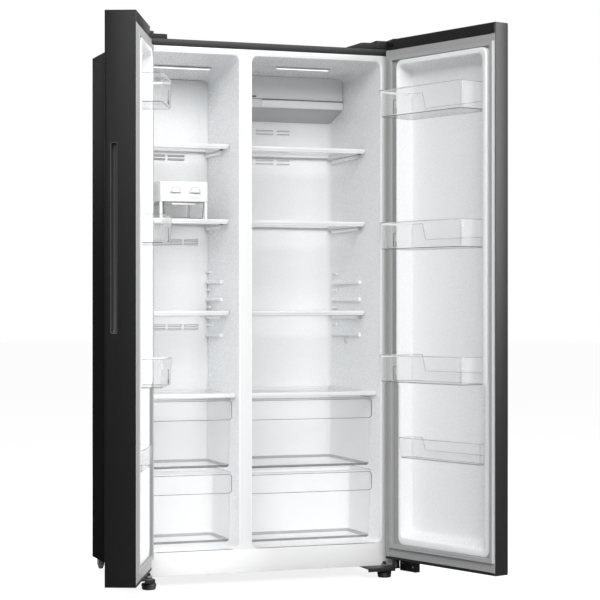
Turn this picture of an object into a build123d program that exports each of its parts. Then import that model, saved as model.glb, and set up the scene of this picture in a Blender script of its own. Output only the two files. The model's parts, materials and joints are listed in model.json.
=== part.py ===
from build123d import *
import os

# A side by side refrigerator: a freezer on the left, a fridge compartment on the right.
# Millimetres. X to the right, Y to the back, Z up. The origin is on the floor, under the
# middle of the cabinet. The doors are drawn closed and then swung open about their hinges.

# Cabinet
WIDTH = 910.0
DEPTH = 550.0
TOP = 1760.0
BOTTOM = 37.0
SHEET = 1.0
FRONT = -DEPTH / 2
BACK = DEPTH / 2
SIDE = WIDTH / 2
TOP_FLANGE = 23.0
SIDE_FLANGE = 15.0

# Compartments
LINER = 1.5
CORNER = 22.0
FREEZER_X = (-393.0, -98.0)
FRIDGE_X = (-53.0, 398.0)
FLOOR = 112.0
CEILING = 1717.0
FREEZER_CEILING_BACK = 1673.0
FRIDGE_CEILING_BACK = 1699.0
CAVITY_DEPTH = 478.0
STEP_DEPTH = 285.0
STEP_HEIGHT = 340.0
AIR_COVER_DEPTH = 347.0
DUCT_DEPTH = 352.0

# Doors
DOOR_GAP = 12.0
DOOR_THICKNESS = 95.0
DOOR_BOTTOM = 64.0
DOOR_TOP = 1785.0
FREEZER_DOOR = 375.0
FRIDGE_DOOR = 522.0
FREEZER_OPEN = 112.2
FRIDGE_OPEN = 108.1
BEVEL = 41.0
CAP_HEIGHT = 35.0
BOTTOM_CAP = 9.0
BORDER = 27.0
GASKET_WIDTH = 14.0
GASKET_HEIGHT = 10.4
GASKET_TOP = 1726.0
GASKET_BOTTOM = 103.0
GASKET_INSET = 3.0
STOP_BOTTOM = 24.0
TALL_RIM = 12.0
LOW_RIM = 2.0
RIM_STEP = 654.0
RECESS = 50.0
INNER_FACE = FRONT - DOOR_GAP
GRIP_Z = (820.0, 1390.0)
GRIP_Y = (-79.0, -55.0)
FREEZER_REACH = 75.0
FRIDGE_REACH = 98.0

# Hinges
PIVOT_INSET = 18.5
PIVOT_FORWARD = 42.0
PIVOT_X = SIDE - PIVOT_INSET
PIVOT_Y = FRONT - PIVOT_FORWARD
PIN = 5.0
RUNNING = 0.05
HINGE_PLATE = 5.0
COVER_HEIGHT = 30.0

# Shelves, drawers and baskets
FREEZER_SHELF_FRONT = 101.0
FRIDGE_SHELF_FRONT = 138.0
SHELF_TOPS = (1437.0, 1189.0, 887.0)
SHELF_HEIGHT = 16.0
COVER_TOP = 617.0
RIB = 6.0
RIB_SPACING = 60.0
RIB_START = 180.0
RIB_THICKNESS = 5.0
FREEZER_RIB_END = 346.0
FRIDGE_RIB_END = 440.0
WALL = 2.5
FREEZER_BASKET_TOPS = (1605.0, 1180.0, 743.0, 470.0)
FRIDGE_BASKET_TOPS = (1604.0, 1174.0, 744.0, 472.0)

# Temperature sensor
SENSOR_DEPTH = 321.0
SENSOR_Z = 783.0
SENSOR_RADIUS = 11.0

# Cooling machinery
LAMP_DEPTH = 175.0
FAN_X = (FREEZER_X[0] + FREEZER_X[1]) / 2
FAN_Z = 800.0
SHAFT = 3.0
FIN_PITCH = 12.0
FIN = 1.5
TUBE = 4.0
COMPRESSOR_X = -250.0
COMPRESSOR_Y = FRONT + 430.0
COMPRESSOR_RADIUS = 72.0

# Ice maker
ICE_X = (-333.0, -172.0)
ICE_Z = (1245.0, 1310.0)
ICE_FRONT = 110.0
ICE_DEPTH = 190.0
KNOB_X = (-282.0, -216.5)
KNOB_Z = 1277.5

# Mains gland
INLET_X = 380.0
INLET_Z = 66.0
INLET_RADIUS = 11.0

# Feet and rollers
FOOT_X = 405.0
FOOT_Y = FRONT - 14.0
FOOT_RADIUS = 24.0
FOOT_HEIGHT = 20.0
STEM = 6.0
ROLLER_X = 437.0
ROLLER_Y = FRONT + 500.0
ROLLER_RADIUS = 18.0
ROLLER_WIDTH = 14.0
AXLE = 4.0


def slab(x, y, z):
    """A block between three pairs of limits."""
    sizes = [high - low for low, high in (x, y, z)]
    middle = [(high + low) / 2 for low, high in (x, y, z)]
    return Pos(*middle) * Box(*sizes)


def post(x, y, z, radius):
    """An upright cylinder between two heights."""
    return Pos(x, y, (z[0] + z[1]) / 2) * Cylinder(radius, z[1] - z[0])


def rod_along_x(x, y, z, radius):
    return Pos((x[0] + x[1]) / 2, y, z) * Rot(0, 90, 0) * Cylinder(radius, x[1] - x[0])


def rod_along_y(x, y, z, radius):
    return Pos(x, (y[0] + y[1]) / 2, z) * Rot(90, 0, 0) * Cylinder(radius, y[1] - y[0])


def profile_along_x(points, x):
    """A side view outline of (depth behind the front, height), drawn out along X."""
    outline = Polyline(*[(FRONT + depth, height) for depth, height in points], close=True)
    face = Plane.YZ.offset(x[0]) * make_face(outline)
    return extrude(face, x[1] - x[0])


def profile_along_z(points, z):
    """A plan outline drawn upwards."""
    face = Plane.XY.offset(z[0]) * make_face(Polyline(*points, close=True))
    return extrude(face, z[1] - z[0])


def rounded_tunnel(x, y, z, radius):
    """A block with its four edges along Y rounded."""
    face = Rectangle(x[1] - x[0], z[1] - z[0])
    face = fillet(face.vertices(), radius)
    plane = Plane(origin=((x[0] + x[1]) / 2, y[0], (z[0] + z[1]) / 2), x_dir=(1, 0, 0), z_dir=(0, 1, 0))
    return extrude(plane * face, y[1] - y[0])


def inside(limits, gap):
    """A pair of limits, drawn in by a gap at both ends."""
    return (limits[0] + gap, limits[1] - gap)


def behind(near, far):
    """Limits along Y, from two depths behind the cabinet's front."""
    return (FRONT + near, FRONT + far)


# ---------------------------------------------------------------- cabinet


def cabinet_shell():
    outer = slab((-SIDE, SIDE), (FRONT, BACK), (BOTTOM, TOP))
    inner = slab((-SIDE + SHEET, SIDE - SHEET), (FRONT - 1, BACK + 1), (BOTTOM - 1, TOP - SHEET))
    flange = slab((-SIDE, SIDE), (FRONT, FRONT + SHEET), (TOP - TOP_FLANGE, TOP))
    shell = outer - inner + flange
    for side in (-1, 1):
        edges = sorted((side * SIDE, side * (SIDE - SIDE_FLANGE)))
        shell += slab(edges, (FRONT, FRONT + SHEET), (BOTTOM, TOP))
    return shell


def rear_panel():
    return slab((-SIDE + SHEET, SIDE - SHEET), (BACK - SHEET, BACK), (STEP_HEIGHT + LINER, TOP - SHEET))


def cavity(x, back_ceiling, grow=0.0):
    """The room inside one liner: rounded at its long edges, with the step over the machinery."""
    depth = CAVITY_DEPTH + grow
    height = (FLOOR - grow, CEILING + grow)
    room = rounded_tunnel(inside(x, -grow), behind(SHEET, depth), height, CORNER + grow)
    side_view = [
        (0, FLOOR - grow),
        (STEP_DEPTH + grow, FLOOR - grow),
        (STEP_DEPTH + grow, STEP_HEIGHT - grow),
        (depth, STEP_HEIGHT - grow),
        (depth, back_ceiling + grow),
        (AIR_COVER_DEPTH, back_ceiling + grow),
        (0, CEILING + grow),
    ]
    return room & profile_along_x(side_view, inside(x, -grow))


def shelf_ribs(x, shelf_depth):
    """Ledges on both walls that the shelves rest on; the lowest shelf has a choice of four heights."""
    low = SHELF_TOPS[2] - SHELF_HEIGHT
    heights = [SHELF_TOPS[0] - SHELF_HEIGHT, SHELF_TOPS[1] - SHELF_HEIGHT]
    heights += [low + step * RIB_SPACING for step in (-1, 0, 1, 2)]
    ribs = []
    for top in heights:
        for wall, inward in ((x[0], 1), (x[1], -1)):
            edges = sorted((wall, wall + inward * RIB))
            ribs.append(slab(edges, behind(RIB_START, shelf_depth), (top - RIB_THICKNESS, top)))
    return ribs


def freezer_liner():
    liner = cavity(FREEZER_X, FREEZER_CEILING_BACK, LINER) - cavity(FREEZER_X, FREEZER_CEILING_BACK)
    for rib in shelf_ribs(FREEZER_X, FREEZER_RIB_END):
        liner += rib
    return liner


def fridge_liner():
    liner = cavity(FRIDGE_X, FRIDGE_CEILING_BACK, LINER) - cavity(FRIDGE_X, FRIDGE_CEILING_BACK)
    for rib in shelf_ribs(FRIDGE_X, FRIDGE_RIB_END):
        liner += rib
    wall = FRIDGE_X[1]
    sensor_cap = rod_along_x((wall - 5, wall + 0.5), FRONT + SENSOR_DEPTH, SENSOR_Z, SENSOR_RADIUS)
    return liner + sensor_cap


def front_frame():
    """The white steel face that both door seals close on."""
    edge = SIDE - SIDE_FLANGE
    frame = slab((-edge, edge), (FRONT, FRONT + SHEET), (FLOOR, TOP - TOP_FLANGE))
    for x in (FREEZER_X, FRIDGE_X):
        frame -= rounded_tunnel(x, (FRONT - 1, FRONT + 2), (FLOOR, CEILING), CORNER)
    return frame


def base_rail():
    edge = SIDE - SIDE_FLANGE
    rail = slab((-edge, edge), (FRONT, FRONT + 18), (BOTTOM, FLOOR))
    rail -= slab((-edge + 3, edge - 3), (FRONT + 3, FRONT + 19), (BOTTOM - 1, FLOOR - 6))
    return rail - slab((-edge - 1, edge + 1), (FRONT + SHEET - 0.1, FRONT + 19), (FLOOR - 3, FLOOR + 1))


def base_tray():
    """The steel floor of the cabinet, with the ears and axles of the two rear rollers."""
    tray = slab((-SIDE + SHEET, SIDE - SHEET), (FRONT + 19, BACK - SHEET), (BOTTOM, BOTTOM + 2))
    ear_gap = ROLLER_WIDTH / 2 + 0.6
    for side in (-1, 1):
        for offset in (-ear_gap - 2, ear_gap):
            left = side * ROLLER_X + offset
            tray += slab((left, left + 2), (ROLLER_Y - 12, ROLLER_Y + 12), (12, BOTTOM))
        span = (side * ROLLER_X - ear_gap - 2, side * ROLLER_X + ear_gap + 2)
        tray += rod_along_x(span, ROLLER_Y, ROLLER_RADIUS, AXLE)
    return tray


def machine_cover():
    """The louvred plate over the machinery at the bottom of the back."""
    height = (BOTTOM + 4, STEP_HEIGHT)
    cover = slab((-SIDE + 3, SIDE - 3), (BACK - 2, BACK), height)
    slot_pitch = 14.0
    for column in (-1, 1):
        centre = column * 210.0
        for row in range(12):
            bottom = 90.0 + row * slot_pitch
            cover -= slab((centre - 130, centre + 130), (BACK - 3, BACK + 1), (bottom, bottom + 5))
    return cover - rod_along_y(INLET_X, (BACK - 3, BACK + 1), INLET_Z, INLET_RADIUS)


def machine_room():
    """The space under the step that holds the compressor and condenser."""
    return slab((-SIDE + 20, SIDE - 20), behind(315, DEPTH), (BOTTOM, STEP_HEIGHT - 20))


def cabinet_foam():
    """Blown insulation that fills the space between the shell and the two liners."""
    core = slab((-SIDE + SHEET, SIDE - SHEET), behind(19, DEPTH - 2), (BOTTOM + 2, TOP - SHEET))
    core += slab((-SIDE + SHEET, SIDE - SHEET), behind(SHEET, 19), (FLOOR + 0.5, TOP - SHEET))
    core -= cavity(FREEZER_X, FREEZER_CEILING_BACK, LINER)
    core -= cavity(FRIDGE_X, FRIDGE_CEILING_BACK, LINER)
    return core - machine_room()


def freezer_air_cover():
    """The moulded panel in front of the evaporator, with rows of air slots."""
    x = (FREEZER_X[0] + 0.5, FREEZER_X[1] - 0.5)
    bottom = STEP_HEIGHT + 0.5
    panel = slab(x, behind(AIR_COVER_DEPTH, AIR_COVER_DEPTH + 4), (bottom, FREEZER_CEILING_BACK - 0.5))
    middle = (x[0] + x[1]) / 2
    for height in (1406.0, 1120.0, 830.0):
        for column in (-1.5, -0.5, 0.5, 1.5):
            centre = middle + column * 58
            panel -= slab((centre - 25, centre + 25), behind(330, 370), (height, height + 7))
    return panel


def fridge_air_duct():
    """The air housing across the top of the fridge compartment's back wall."""
    x = inside(FRIDGE_X, 1.0)
    back = CAVITY_DEPTH - 0.5
    roof = FRIDGE_CEILING_BACK - 0.5
    side_view = [(DUCT_DEPTH, 1590.0), (back, 1553.0), (back, roof), (DUCT_DEPTH, roof)]
    housing = profile_along_x(side_view, x)
    near = DUCT_DEPTH + 3
    hollow = [(near, 1593.0), (back + 1, 1556.0), (back + 1, roof - 3), (near, roof - 3)]
    housing -= profile_along_x(hollow, (x[0] + 3, x[1] - 3))
    band = slab((FRIDGE_X[0] + 146, x[1]), behind(DUCT_DEPTH - 6, DUCT_DEPTH), (1590.0, 1617.0))
    housing += band
    for column in range(3):
        left = FRIDGE_X[0] + 20 + column * 40
        housing -= slab((left, left + 32), behind(340, 370), (1624.0, 1631.0))
    return housing


def ceiling_lamps():
    """One light bar under the roof of each compartment."""
    half_width = 8.0
    bars = []
    for x, back_ceiling, length in (
        (FREEZER_X, FREEZER_CEILING_BACK, 210.0),
        (FRIDGE_X, FRIDGE_CEILING_BACK, 194.0),
    ):
        middle = (x[0] + x[1]) / 2 + (11.0 if x is FRIDGE_X else 0.0)
        roof = CEILING - (CEILING - back_ceiling) * (LAMP_DEPTH + half_width) / AIR_COVER_DEPTH
        limits = (middle - length / 2, middle + length / 2)
        near_far = behind(LAMP_DEPTH - half_width, LAMP_DEPTH + half_width)
        bars.append(slab(limits, near_far, (roof - 6, roof)))
    return Compound(children=bars)


# ---------------------------------------------------------------- cooling machinery


def finned_coil(left, count, y, z, rows):
    """A row of upright fins threaded on level tubes, with the tube ends beyond them."""
    coil = slab((left, left + FIN), y, z)
    for fin in range(1, count):
        start = left + fin * FIN_PITCH
        coil += slab((start, start + FIN), y, z)
    right = left + (count - 1) * FIN_PITCH + FIN
    pitch = (z[1] - z[0]) / rows
    for row in range(rows):
        height = z[0] + (row + 0.5) * pitch
        coil += rod_along_x((left - TUBE, right + TUBE), (y[0] + y[1]) / 2, height, TUBE)
    return coil


def evaporator():
    """The finned coil behind the freezer's air cover, with its tubes joined at alternate ends."""
    left = -372.0
    fins = 22
    rows = 6
    y = behind(375, 445)
    z = (430.0, 680.0)
    coil = finned_coil(left, fins, y, z, rows)
    right = left + (fins - 1) * FIN_PITCH + FIN
    pitch = (z[1] - z[0]) / rows
    middle = (y[0] + y[1]) / 2
    for row in range(rows - 1):
        end = left - TUBE if row % 2 else right + TUBE
        low = z[0] + (row + 0.5) * pitch
        coil += slab((end - 3, end + 3), (middle - 3, middle + 3), (low, low + pitch))
    return coil


def evaporator_fan():
    """A four bladed fan above the evaporator; it turns about Y."""
    blades = 4
    hub_radius = 16.0
    fan = rod_along_y(FAN_X, behind(375, 395), FAN_Z, hub_radius)
    for blade in range(blades):
        arm = Pos(34, 0, 0) * Rot(28, 0, 0) * Box(44, 2, 30)
        fan += Pos(FAN_X, FRONT + 385, FAN_Z) * Rot(0, 45 + blade * 360 / blades, 0) * arm
    return fan - rod_along_y(FAN_X, behind(370, 400), FAN_Z, SHAFT + RUNNING)


def fan_motor():
    """The motor on the liner's back wall, with the shaft that carries the fan."""
    motor_radius = 26.0
    motor = rod_along_y(FAN_X, behind(410, 440), FAN_Z, motor_radius)
    strap = slab((FAN_X - 40, FAN_X + 40), behind(440, CAVITY_DEPTH - 0.2), (FAN_Z - 12, FAN_Z + 12))
    return motor + strap + rod_along_y(FAN_X, behind(374, 411), FAN_Z, SHAFT)


def compressor():
    """The sealed motor compressor on its four footed plate."""
    height = 150.0
    x = COMPRESSOR_X
    y = COMPRESSOR_Y
    can = Pos(x, y, 60 + height / 2) * Cylinder(COMPRESSOR_RADIUS, height)
    can = fillet(can.edges(), 34)
    plate = slab((x - 105, x + 105), (y - 60, y + 60), (52, 62))
    terminal_box = slab((x + 60, x + 100), (y - 25, y + 25), (110, 160))
    body = can + plate + terminal_box
    for dx in (-92, 92):
        for dy in (-48, 48):
            body += post(x + dx, y + dy, (BOTTOM + 2, 52.5), 11.0)
    return body


def condenser():
    """A finned coil beside the compressor, stood on its two end plates."""
    left = -60.0
    fins = 27
    y = behind(385, 465)
    z = (70.0, 230.0)
    coil = finned_coil(left, fins, y, z, 4)
    right = left + (fins - 1) * FIN_PITCH + FIN
    for end in (left - 2, right):
        coil += slab((end, end + 2), y, (BOTTOM + 2, z[1]))
    return coil


def power_inlet():
    """The gland in the machine cover where the mains lead enters."""
    gland = rod_along_y(INLET_X, (BACK - 14, BACK), INLET_Z, INLET_RADIUS)
    return gland - rod_along_y(INLET_X, (BACK - 15, BACK + 1), INLET_Z, 4.5)


# ---------------------------------------------------------------- hinges, feet, rollers


def top_hinges():
    """Two plates on the roof, each with a pin down into its door."""
    z = (TOP, TOP + HINGE_PLATE)
    arm_half_width = 13.0
    plates = []
    for side in (-1, 1):
        arm = slab((-arm_half_width, arm_half_width), (0, PIVOT_FORWARD + 70), z)
        arm += post(0, 0, z, arm_half_width)
        base_x = sorted((-side * 100, side * arm_half_width))
        base = slab(base_x, (PIVOT_FORWARD + 12, PIVOT_FORWARD + 74), z)
        plate = arm + base + post(0, 0, (TOP - 24, TOP), PIN)
        plates.append(Pos(side * PIVOT_X, PIVOT_Y, 0) * plate)
    return Compound(children=plates)


def hinge_covers():
    """Black covers over the top hinges: a block that ramps down inwards, and an arm over the pin."""
    length = 185.0
    depth = 100.0
    clear = HINGE_PLATE + 0.4
    covers = []
    for side in (-1, 1):
        outline = [(0, 4), (86, 4), (length, 12), (length, depth), (0, depth)]
        plan = [(side * (SIDE - 1 - inward), FRONT + back) for inward, back in outline]
        body = profile_along_z(plan, (TOP, TOP + COVER_HEIGHT))
        ramp_view = [(length + 5, 0), (length + 5, 40), (100, 40), (135, 22)]
        ramp = Polyline(*[(side * (SIDE - inward), TOP + up) for inward, up in ramp_view], close=True)
        body -= extrude(Plane.XZ * make_face(ramp), DEPTH, both=True)
        arm = slab((-15, 15), (-13, PIVOT_FORWARD + 10), (TOP + clear, TOP + COVER_HEIGHT))
        body += Pos(side * PIVOT_X, PIVOT_Y, 0) * arm
        room_x = sorted((side * (PIVOT_X - 103), side * (PIVOT_X + 14)))
        covers.append(body - slab(room_x, (FRONT, PIVOT_Y + 119), (TOP - 1, TOP + clear)))
    return Compound(children=covers)


def bottom_hinges():
    """Two lipped plates under the cabinet, each with a collar and pin for its door and a foot's thread."""
    z = (BOTTOM - HINGE_PLATE, BOTTOM)
    end_radius = 12.0
    length = 104.0
    brackets = []
    for side in (-1, 1):
        reach_x = sorted((-side * length, side * (end_radius - 1)))
        plate = slab(reach_x, (0, PIVOT_FORWARD + 60), z)
        plate += slab(sorted((-side * length, 0)), (-end_radius, 0), z)
        plate += post(0, 0, z, end_radius)
        plate += slab(sorted((-side * length, -side * 8)), (-end_radius, 3 - end_radius), (z[0] - 8, z[1]))
        plate += post(0, 0, (z[1] - 1, DOOR_BOTTOM - 2), 11)
        plate += post(0, 0, (DOOR_BOTTOM - 3, DOOR_BOTTOM + 22), PIN)
        bracket = Pos(side * PIVOT_X, PIVOT_Y, 0) * plate
        bracket -= post(side * FOOT_X, FOOT_Y, (0, 100), STEM + RUNNING)
        brackets.append(bracket)
    return Compound(children=brackets)


def foot(side):
    """A levelling foot: a ribbed disc on a stem that turns in the hinge bracket."""
    disc = Pos(side * FOOT_X, FOOT_Y, FOOT_HEIGHT / 2) * Cylinder(FOOT_RADIUS, FOOT_HEIGHT)
    disc = chamfer(disc.edges().group_by(Axis.Z)[0], 3)
    return disc + post(side * FOOT_X, FOOT_Y, (FOOT_HEIGHT - 1, BOTTOM + 15), STEM)


def roller(side):
    span = (side * ROLLER_X - ROLLER_WIDTH / 2, side * ROLLER_X + ROLLER_WIDTH / 2)
    wheel = rod_along_x(span, ROLLER_Y, ROLLER_RADIUS, ROLLER_RADIUS)
    wheel = chamfer(wheel.edges(), 1.5)
    return wheel - rod_along_x((span[0] - 1, span[1] + 1), ROLLER_Y, ROLLER_RADIUS, AXLE + RUNNING)


# ---------------------------------------------------------------- shelves and drawers


def shelf(x, near, far, top):
    """A glass plate in a moulded frame that is deeper along the front and back edges."""
    gap = 1.5
    bottom = top - SHELF_HEIGHT + 0.3
    frame = slab((x[0] + gap, x[1] - gap), behind(near, far), (bottom, top))
    frame -= slab((x[0] + 14, x[1] - 14), behind(near + 12, far - 16), (bottom - 1, top + 1))
    rib_room = inside(x, RIB + gap)
    frame -= slab(rib_room, behind(near + 16, far - 20), (bottom - 1, top - 9))
    pane = slab((x[0] + 14, x[1] - 14), behind(near + 12, far - 16), (top - 6, top - 2))
    return Compound(children=[frame, pane])


def drawer_cover(x, far):
    """The glass roof over the drawers, on a frame with centre runners."""
    top = COVER_TOP
    frame = slab((x[0] + 0.5, x[1] - 0.5), behind(39, far), (top - 14, top))
    frame -= slab((x[0] + 16, x[1] - 16), behind(60, far - 16), (top - 15, top + 1))
    pane = slab((x[0] + 16, x[1] - 16), behind(60, far - 16), (top - 6, top - 2))
    return Compound(children=[frame, pane])


def drawer(x, near, far, z):
    """A clear bin with a leaning front, a lipped rim and a finger ledge along its top."""
    sides = (x[0] + 4.5, x[1] - 4.5)
    lean = 8.0
    outline = [(near + lean, z[0]), (near, z[1]), (far, z[1]), (far, z[0])]
    outer = profile_along_x(outline, sides)
    hollow = [
        (near + lean + WALL, z[0] + WALL),
        (near + WALL, z[1] + 1),
        (far - WALL, z[1] + 1),
        (far - WALL, z[0] + WALL),
    ]
    inner = profile_along_x(hollow, inside(sides, WALL))
    ledge = slab((sides[0] + 1, sides[1] - 1), behind(near + 1, near + 20), (z[1] - 5, z[1]))
    return outer - inner + ledge


def ice_frame():
    """The stand that holds the two twist trays over the ice bin."""
    y = behind(ICE_FRONT, ICE_FRONT + ICE_DEPTH)
    frame = slab(ICE_X, y, ICE_Z)
    frame -= slab((ICE_X[0] + 3, ICE_X[1] - 3), (y[0] + 3, y[1] - 3), (ICE_Z[0] - 1, ICE_Z[1] - 3))
    for x in KNOB_X:
        frame -= rod_along_y(x, (y[0] - 1, y[0] + 4), KNOB_Z, 8.0 + RUNNING)
        frame -= rod_along_y(x, (y[1] - 4, y[1] + 1), KNOB_Z, 4.0 + RUNNING)
    for left in (ICE_X[0], ICE_X[1] - 8):
        for near in (y[0] + 4, y[1] - 12):
            frame += slab((left, left + 8), (near, near + 8), (SHELF_TOPS[1] + 0.1, ICE_Z[0] + 1))
    return frame


def ice_tray(x):
    """A twist tray with two rows of ice pockets and its knob."""
    y = behind(ICE_FRONT + 8, ICE_FRONT + ICE_DEPTH - 8)
    tray = slab((x - 26, x + 26), y, (KNOB_Z - 13, KNOB_Z + 11))
    rows = 5
    pitch = (y[1] - y[0] - 4) / rows
    for row in range(rows):
        near = y[0] + 4 + row * pitch
        for left in (x - 23, x + 1):
            tray -= slab((left, left + 22), (near, near + pitch - 4), (KNOB_Z - 10, KNOB_Z + 12))
    tray += rod_along_y(x, (y[0] - 9, y[0] + 1), KNOB_Z, 8.0)
    tray += rod_along_y(x, (y[1] - 1, y[1] + 7), KNOB_Z, 4.0)
    tray += rod_along_y(x, behind(ICE_FRONT - 12, ICE_FRONT - 0.5), KNOB_Z, 21.0)
    finger_room = slab((x - 22, x + 22), behind(ICE_FRONT - 13, ICE_FRONT - 5), (KNOB_Z - 22, KNOB_Z - 6))
    return tray - finger_room


def ice_bin():
    """The clear box under the ice trays."""
    x = (ICE_X[0] + 10, ICE_X[1] - 10)
    z = (SHELF_TOPS[1] + 0.3, ICE_Z[0] - 1)
    box = slab(x, behind(ICE_FRONT + 2, ICE_FRONT + ICE_DEPTH - 4), z)
    near_far = behind(ICE_FRONT + 4, ICE_FRONT + ICE_DEPTH - 6)
    return box - slab(inside(x, 2), near_far, (z[0] + 2, z[1] + 1))


# ---------------------------------------------------------------- doors: closed, hinge edge at x = 0


def hang(shape, side):
    """Moves a closed door piece to its side of the cabinet and swings it open."""
    placed = shape if side < 0 else mirror(shape, about=Plane.YZ)
    placed = Pos(side * SIDE, INNER_FACE, 0) * placed
    angle = FREEZER_OPEN if side < 0 else FRIDGE_OPEN
    pivot = Pos(side * PIVOT_X, PIVOT_Y, 0)
    return pivot * Rot(0, 0, side * angle) * pivot.inverse() * placed


def door_plan(width, bevel, inset=0.0):
    """The door's outline in plan; the wider door has a bevelled outer corner at its free edge."""
    outer = -DOOR_THICKNESS + inset
    points = [(inset, 0), (inset, outer)]
    if bevel:
        points += [(width - bevel - inset * 0.4, outer), (width - inset, outer + bevel - inset * 0.6)]
    else:
        points += [(width - inset, outer)]
    return points + [(width - inset, 0)]


def hinge_notch():
    """The clear corner above the door that the hinge arm sweeps."""
    return slab((-1, PIVOT_INSET + 23), (DOOR_GAP - PIVOT_FORWARD - 33, 1), (TOP - 0.4, DOOR_TOP + 1))


def door_skin(width, bevel, grip):
    """A folded steel pan: outer face, both edges and the narrow returns on the inner face."""
    z = (DOOR_BOTTOM, DOOR_TOP)
    pan = profile_along_z(door_plan(width, bevel), z)
    core = profile_along_z(door_plan(width, bevel, SHEET), (z[0] - 1, z[1] + 1))
    pan -= core & slab((0, width), (-DOOR_THICKNESS, -SHEET), (z[0] - 1, z[1] + 1))
    pan -= slab((BORDER - 8, width - BORDER + 8), (-5, 1), (z[0] - 1, z[1] + 1))
    pan -= slab((SHEET, width - SHEET), (-5, 1), (DOOR_TOP - CAP_HEIGHT, DOOR_TOP + 1))
    pan -= slab((SHEET, width - SHEET), (-5, 1), (DOOR_BOTTOM - 1, DOOR_BOTTOM + BOTTOM_CAP))
    if grip:
        pan -= slab((width - 3, width + 1), inside(GRIP_Y, 2), GRIP_Z)
    return pan - hinge_notch()


def door_caps(width, bevel):
    """The moulded ends that close the pan: bearings for the hinge pins, and a stop block hung below."""
    top = profile_along_z(door_plan(width, bevel, SHEET), (DOOR_TOP - CAP_HEIGHT, DOOR_TOP - 0.5))
    top -= hinge_notch()
    bottom = profile_along_z(door_plan(width, bevel, SHEET), (DOOR_BOTTOM + 0.5, DOOR_BOTTOM + BOTTOM_CAP))
    x = PIVOT_INSET
    y = DOOR_GAP - PIVOT_FORWARD
    top += post(x, y, (TOP - 30, TOP - 5), 13)
    bottom += post(x, y, (DOOR_BOTTOM + 2, DOOR_BOTTOM + 28), 13)
    top -= post(x, y, (TOP - 26, TOP + 5), PIN + RUNNING)
    bottom -= post(x, y, (DOOR_BOTTOM - 1, DOOR_BOTTOM + 24), PIN + RUNNING)
    bottom += slab((x + 2.5, x + 82), (y - 32, y - 14), (STOP_BOTTOM, DOOR_BOTTOM + 1))
    return Compound(children=[top, bottom])


def door_liner(width, rim_x):
    """The white inner panel: a flange under the seal, a raised rim and a deep recess."""
    z_out = (DOOR_BOTTOM + BOTTOM_CAP, DOOR_TOP - CAP_HEIGHT)
    flange = slab((SHEET, width - SHEET), (-3, -SHEET - 0.2), z_out)
    flange += slab(inside((0, width), BORDER - 7.8), (-3, 0), z_out)
    tall = slab(rim_x, (-3, TALL_RIM), (RIM_STEP, 1711.0))
    low = slab(rim_x, (-3, LOW_RIM), (119.0, RIM_STEP))
    block = flange + tall + low + slab(rim_x, (-RECESS - 2, -2), (124.0, 1708.0))
    recess = rounded_tunnel((rim_x[0] + 12, rim_x[1] - 24), (-RECESS, TALL_RIM + 1), (142.0, 1690.0), 16.0)
    return block - recess


def door_foam(width, bevel, rim_x, grip):
    z = (DOOR_BOTTOM + 30, DOOR_TOP - CAP_HEIGHT - 1)
    foam = profile_along_z(door_plan(width, bevel, SHEET + 0.2), z)
    foam -= slab((0, width), (-3.2, 1), (0, TOP + 100))
    foam -= slab((rim_x[0] - 0.5, rim_x[1] + 0.5), (-RECESS - 2.5, 1), (118.0, 1712.0))
    foam -= slab((0, PIVOT_INSET + 16), (-60, 1), (TOP - 36, TOP + 1))
    if grip:
        pocket = inside(GRIP_Y, -1)
        foam -= slab((width - 32, width + 1), pocket, (GRIP_Z[0] - 4, GRIP_Z[1] + 4))
    return foam


def door_gasket(width):
    x = (BORDER, width - GASKET_INSET)
    y = (0.0, GASKET_HEIGHT)
    ring = slab(x, y, (GASKET_BOTTOM, GASKET_TOP))
    height = inside((GASKET_BOTTOM, GASKET_TOP), GASKET_WIDTH)
    return ring - slab(inside(x, GASKET_WIDTH), (-5, 20), height)


def grip_channel(width):
    """The finger groove let into the freezer door's free edge."""
    outer = slab((width - 30, width - SHEET - 0.2), GRIP_Y, (GRIP_Z[0] - 3, GRIP_Z[1] + 3))
    return outer - slab((width - 28, width + 1), inside(GRIP_Y, 2), GRIP_Z)


def basket(rim_x, depth, top, height):
    """An open tub that hangs inside the door's rim, with a low front over its full width."""
    x = (rim_x[0] + 12.5, rim_x[1] - 24.5)
    y = (-RECESS + 0.5, depth)
    tub = slab(x, y, (top - height, top))
    tub -= slab((x[0] + WALL, x[1] - WALL), (y[0] + WALL, y[1] - WALL), (top - height + WALL, top + 1))
    return tub


# ---------------------------------------------------------------- assembly


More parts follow.
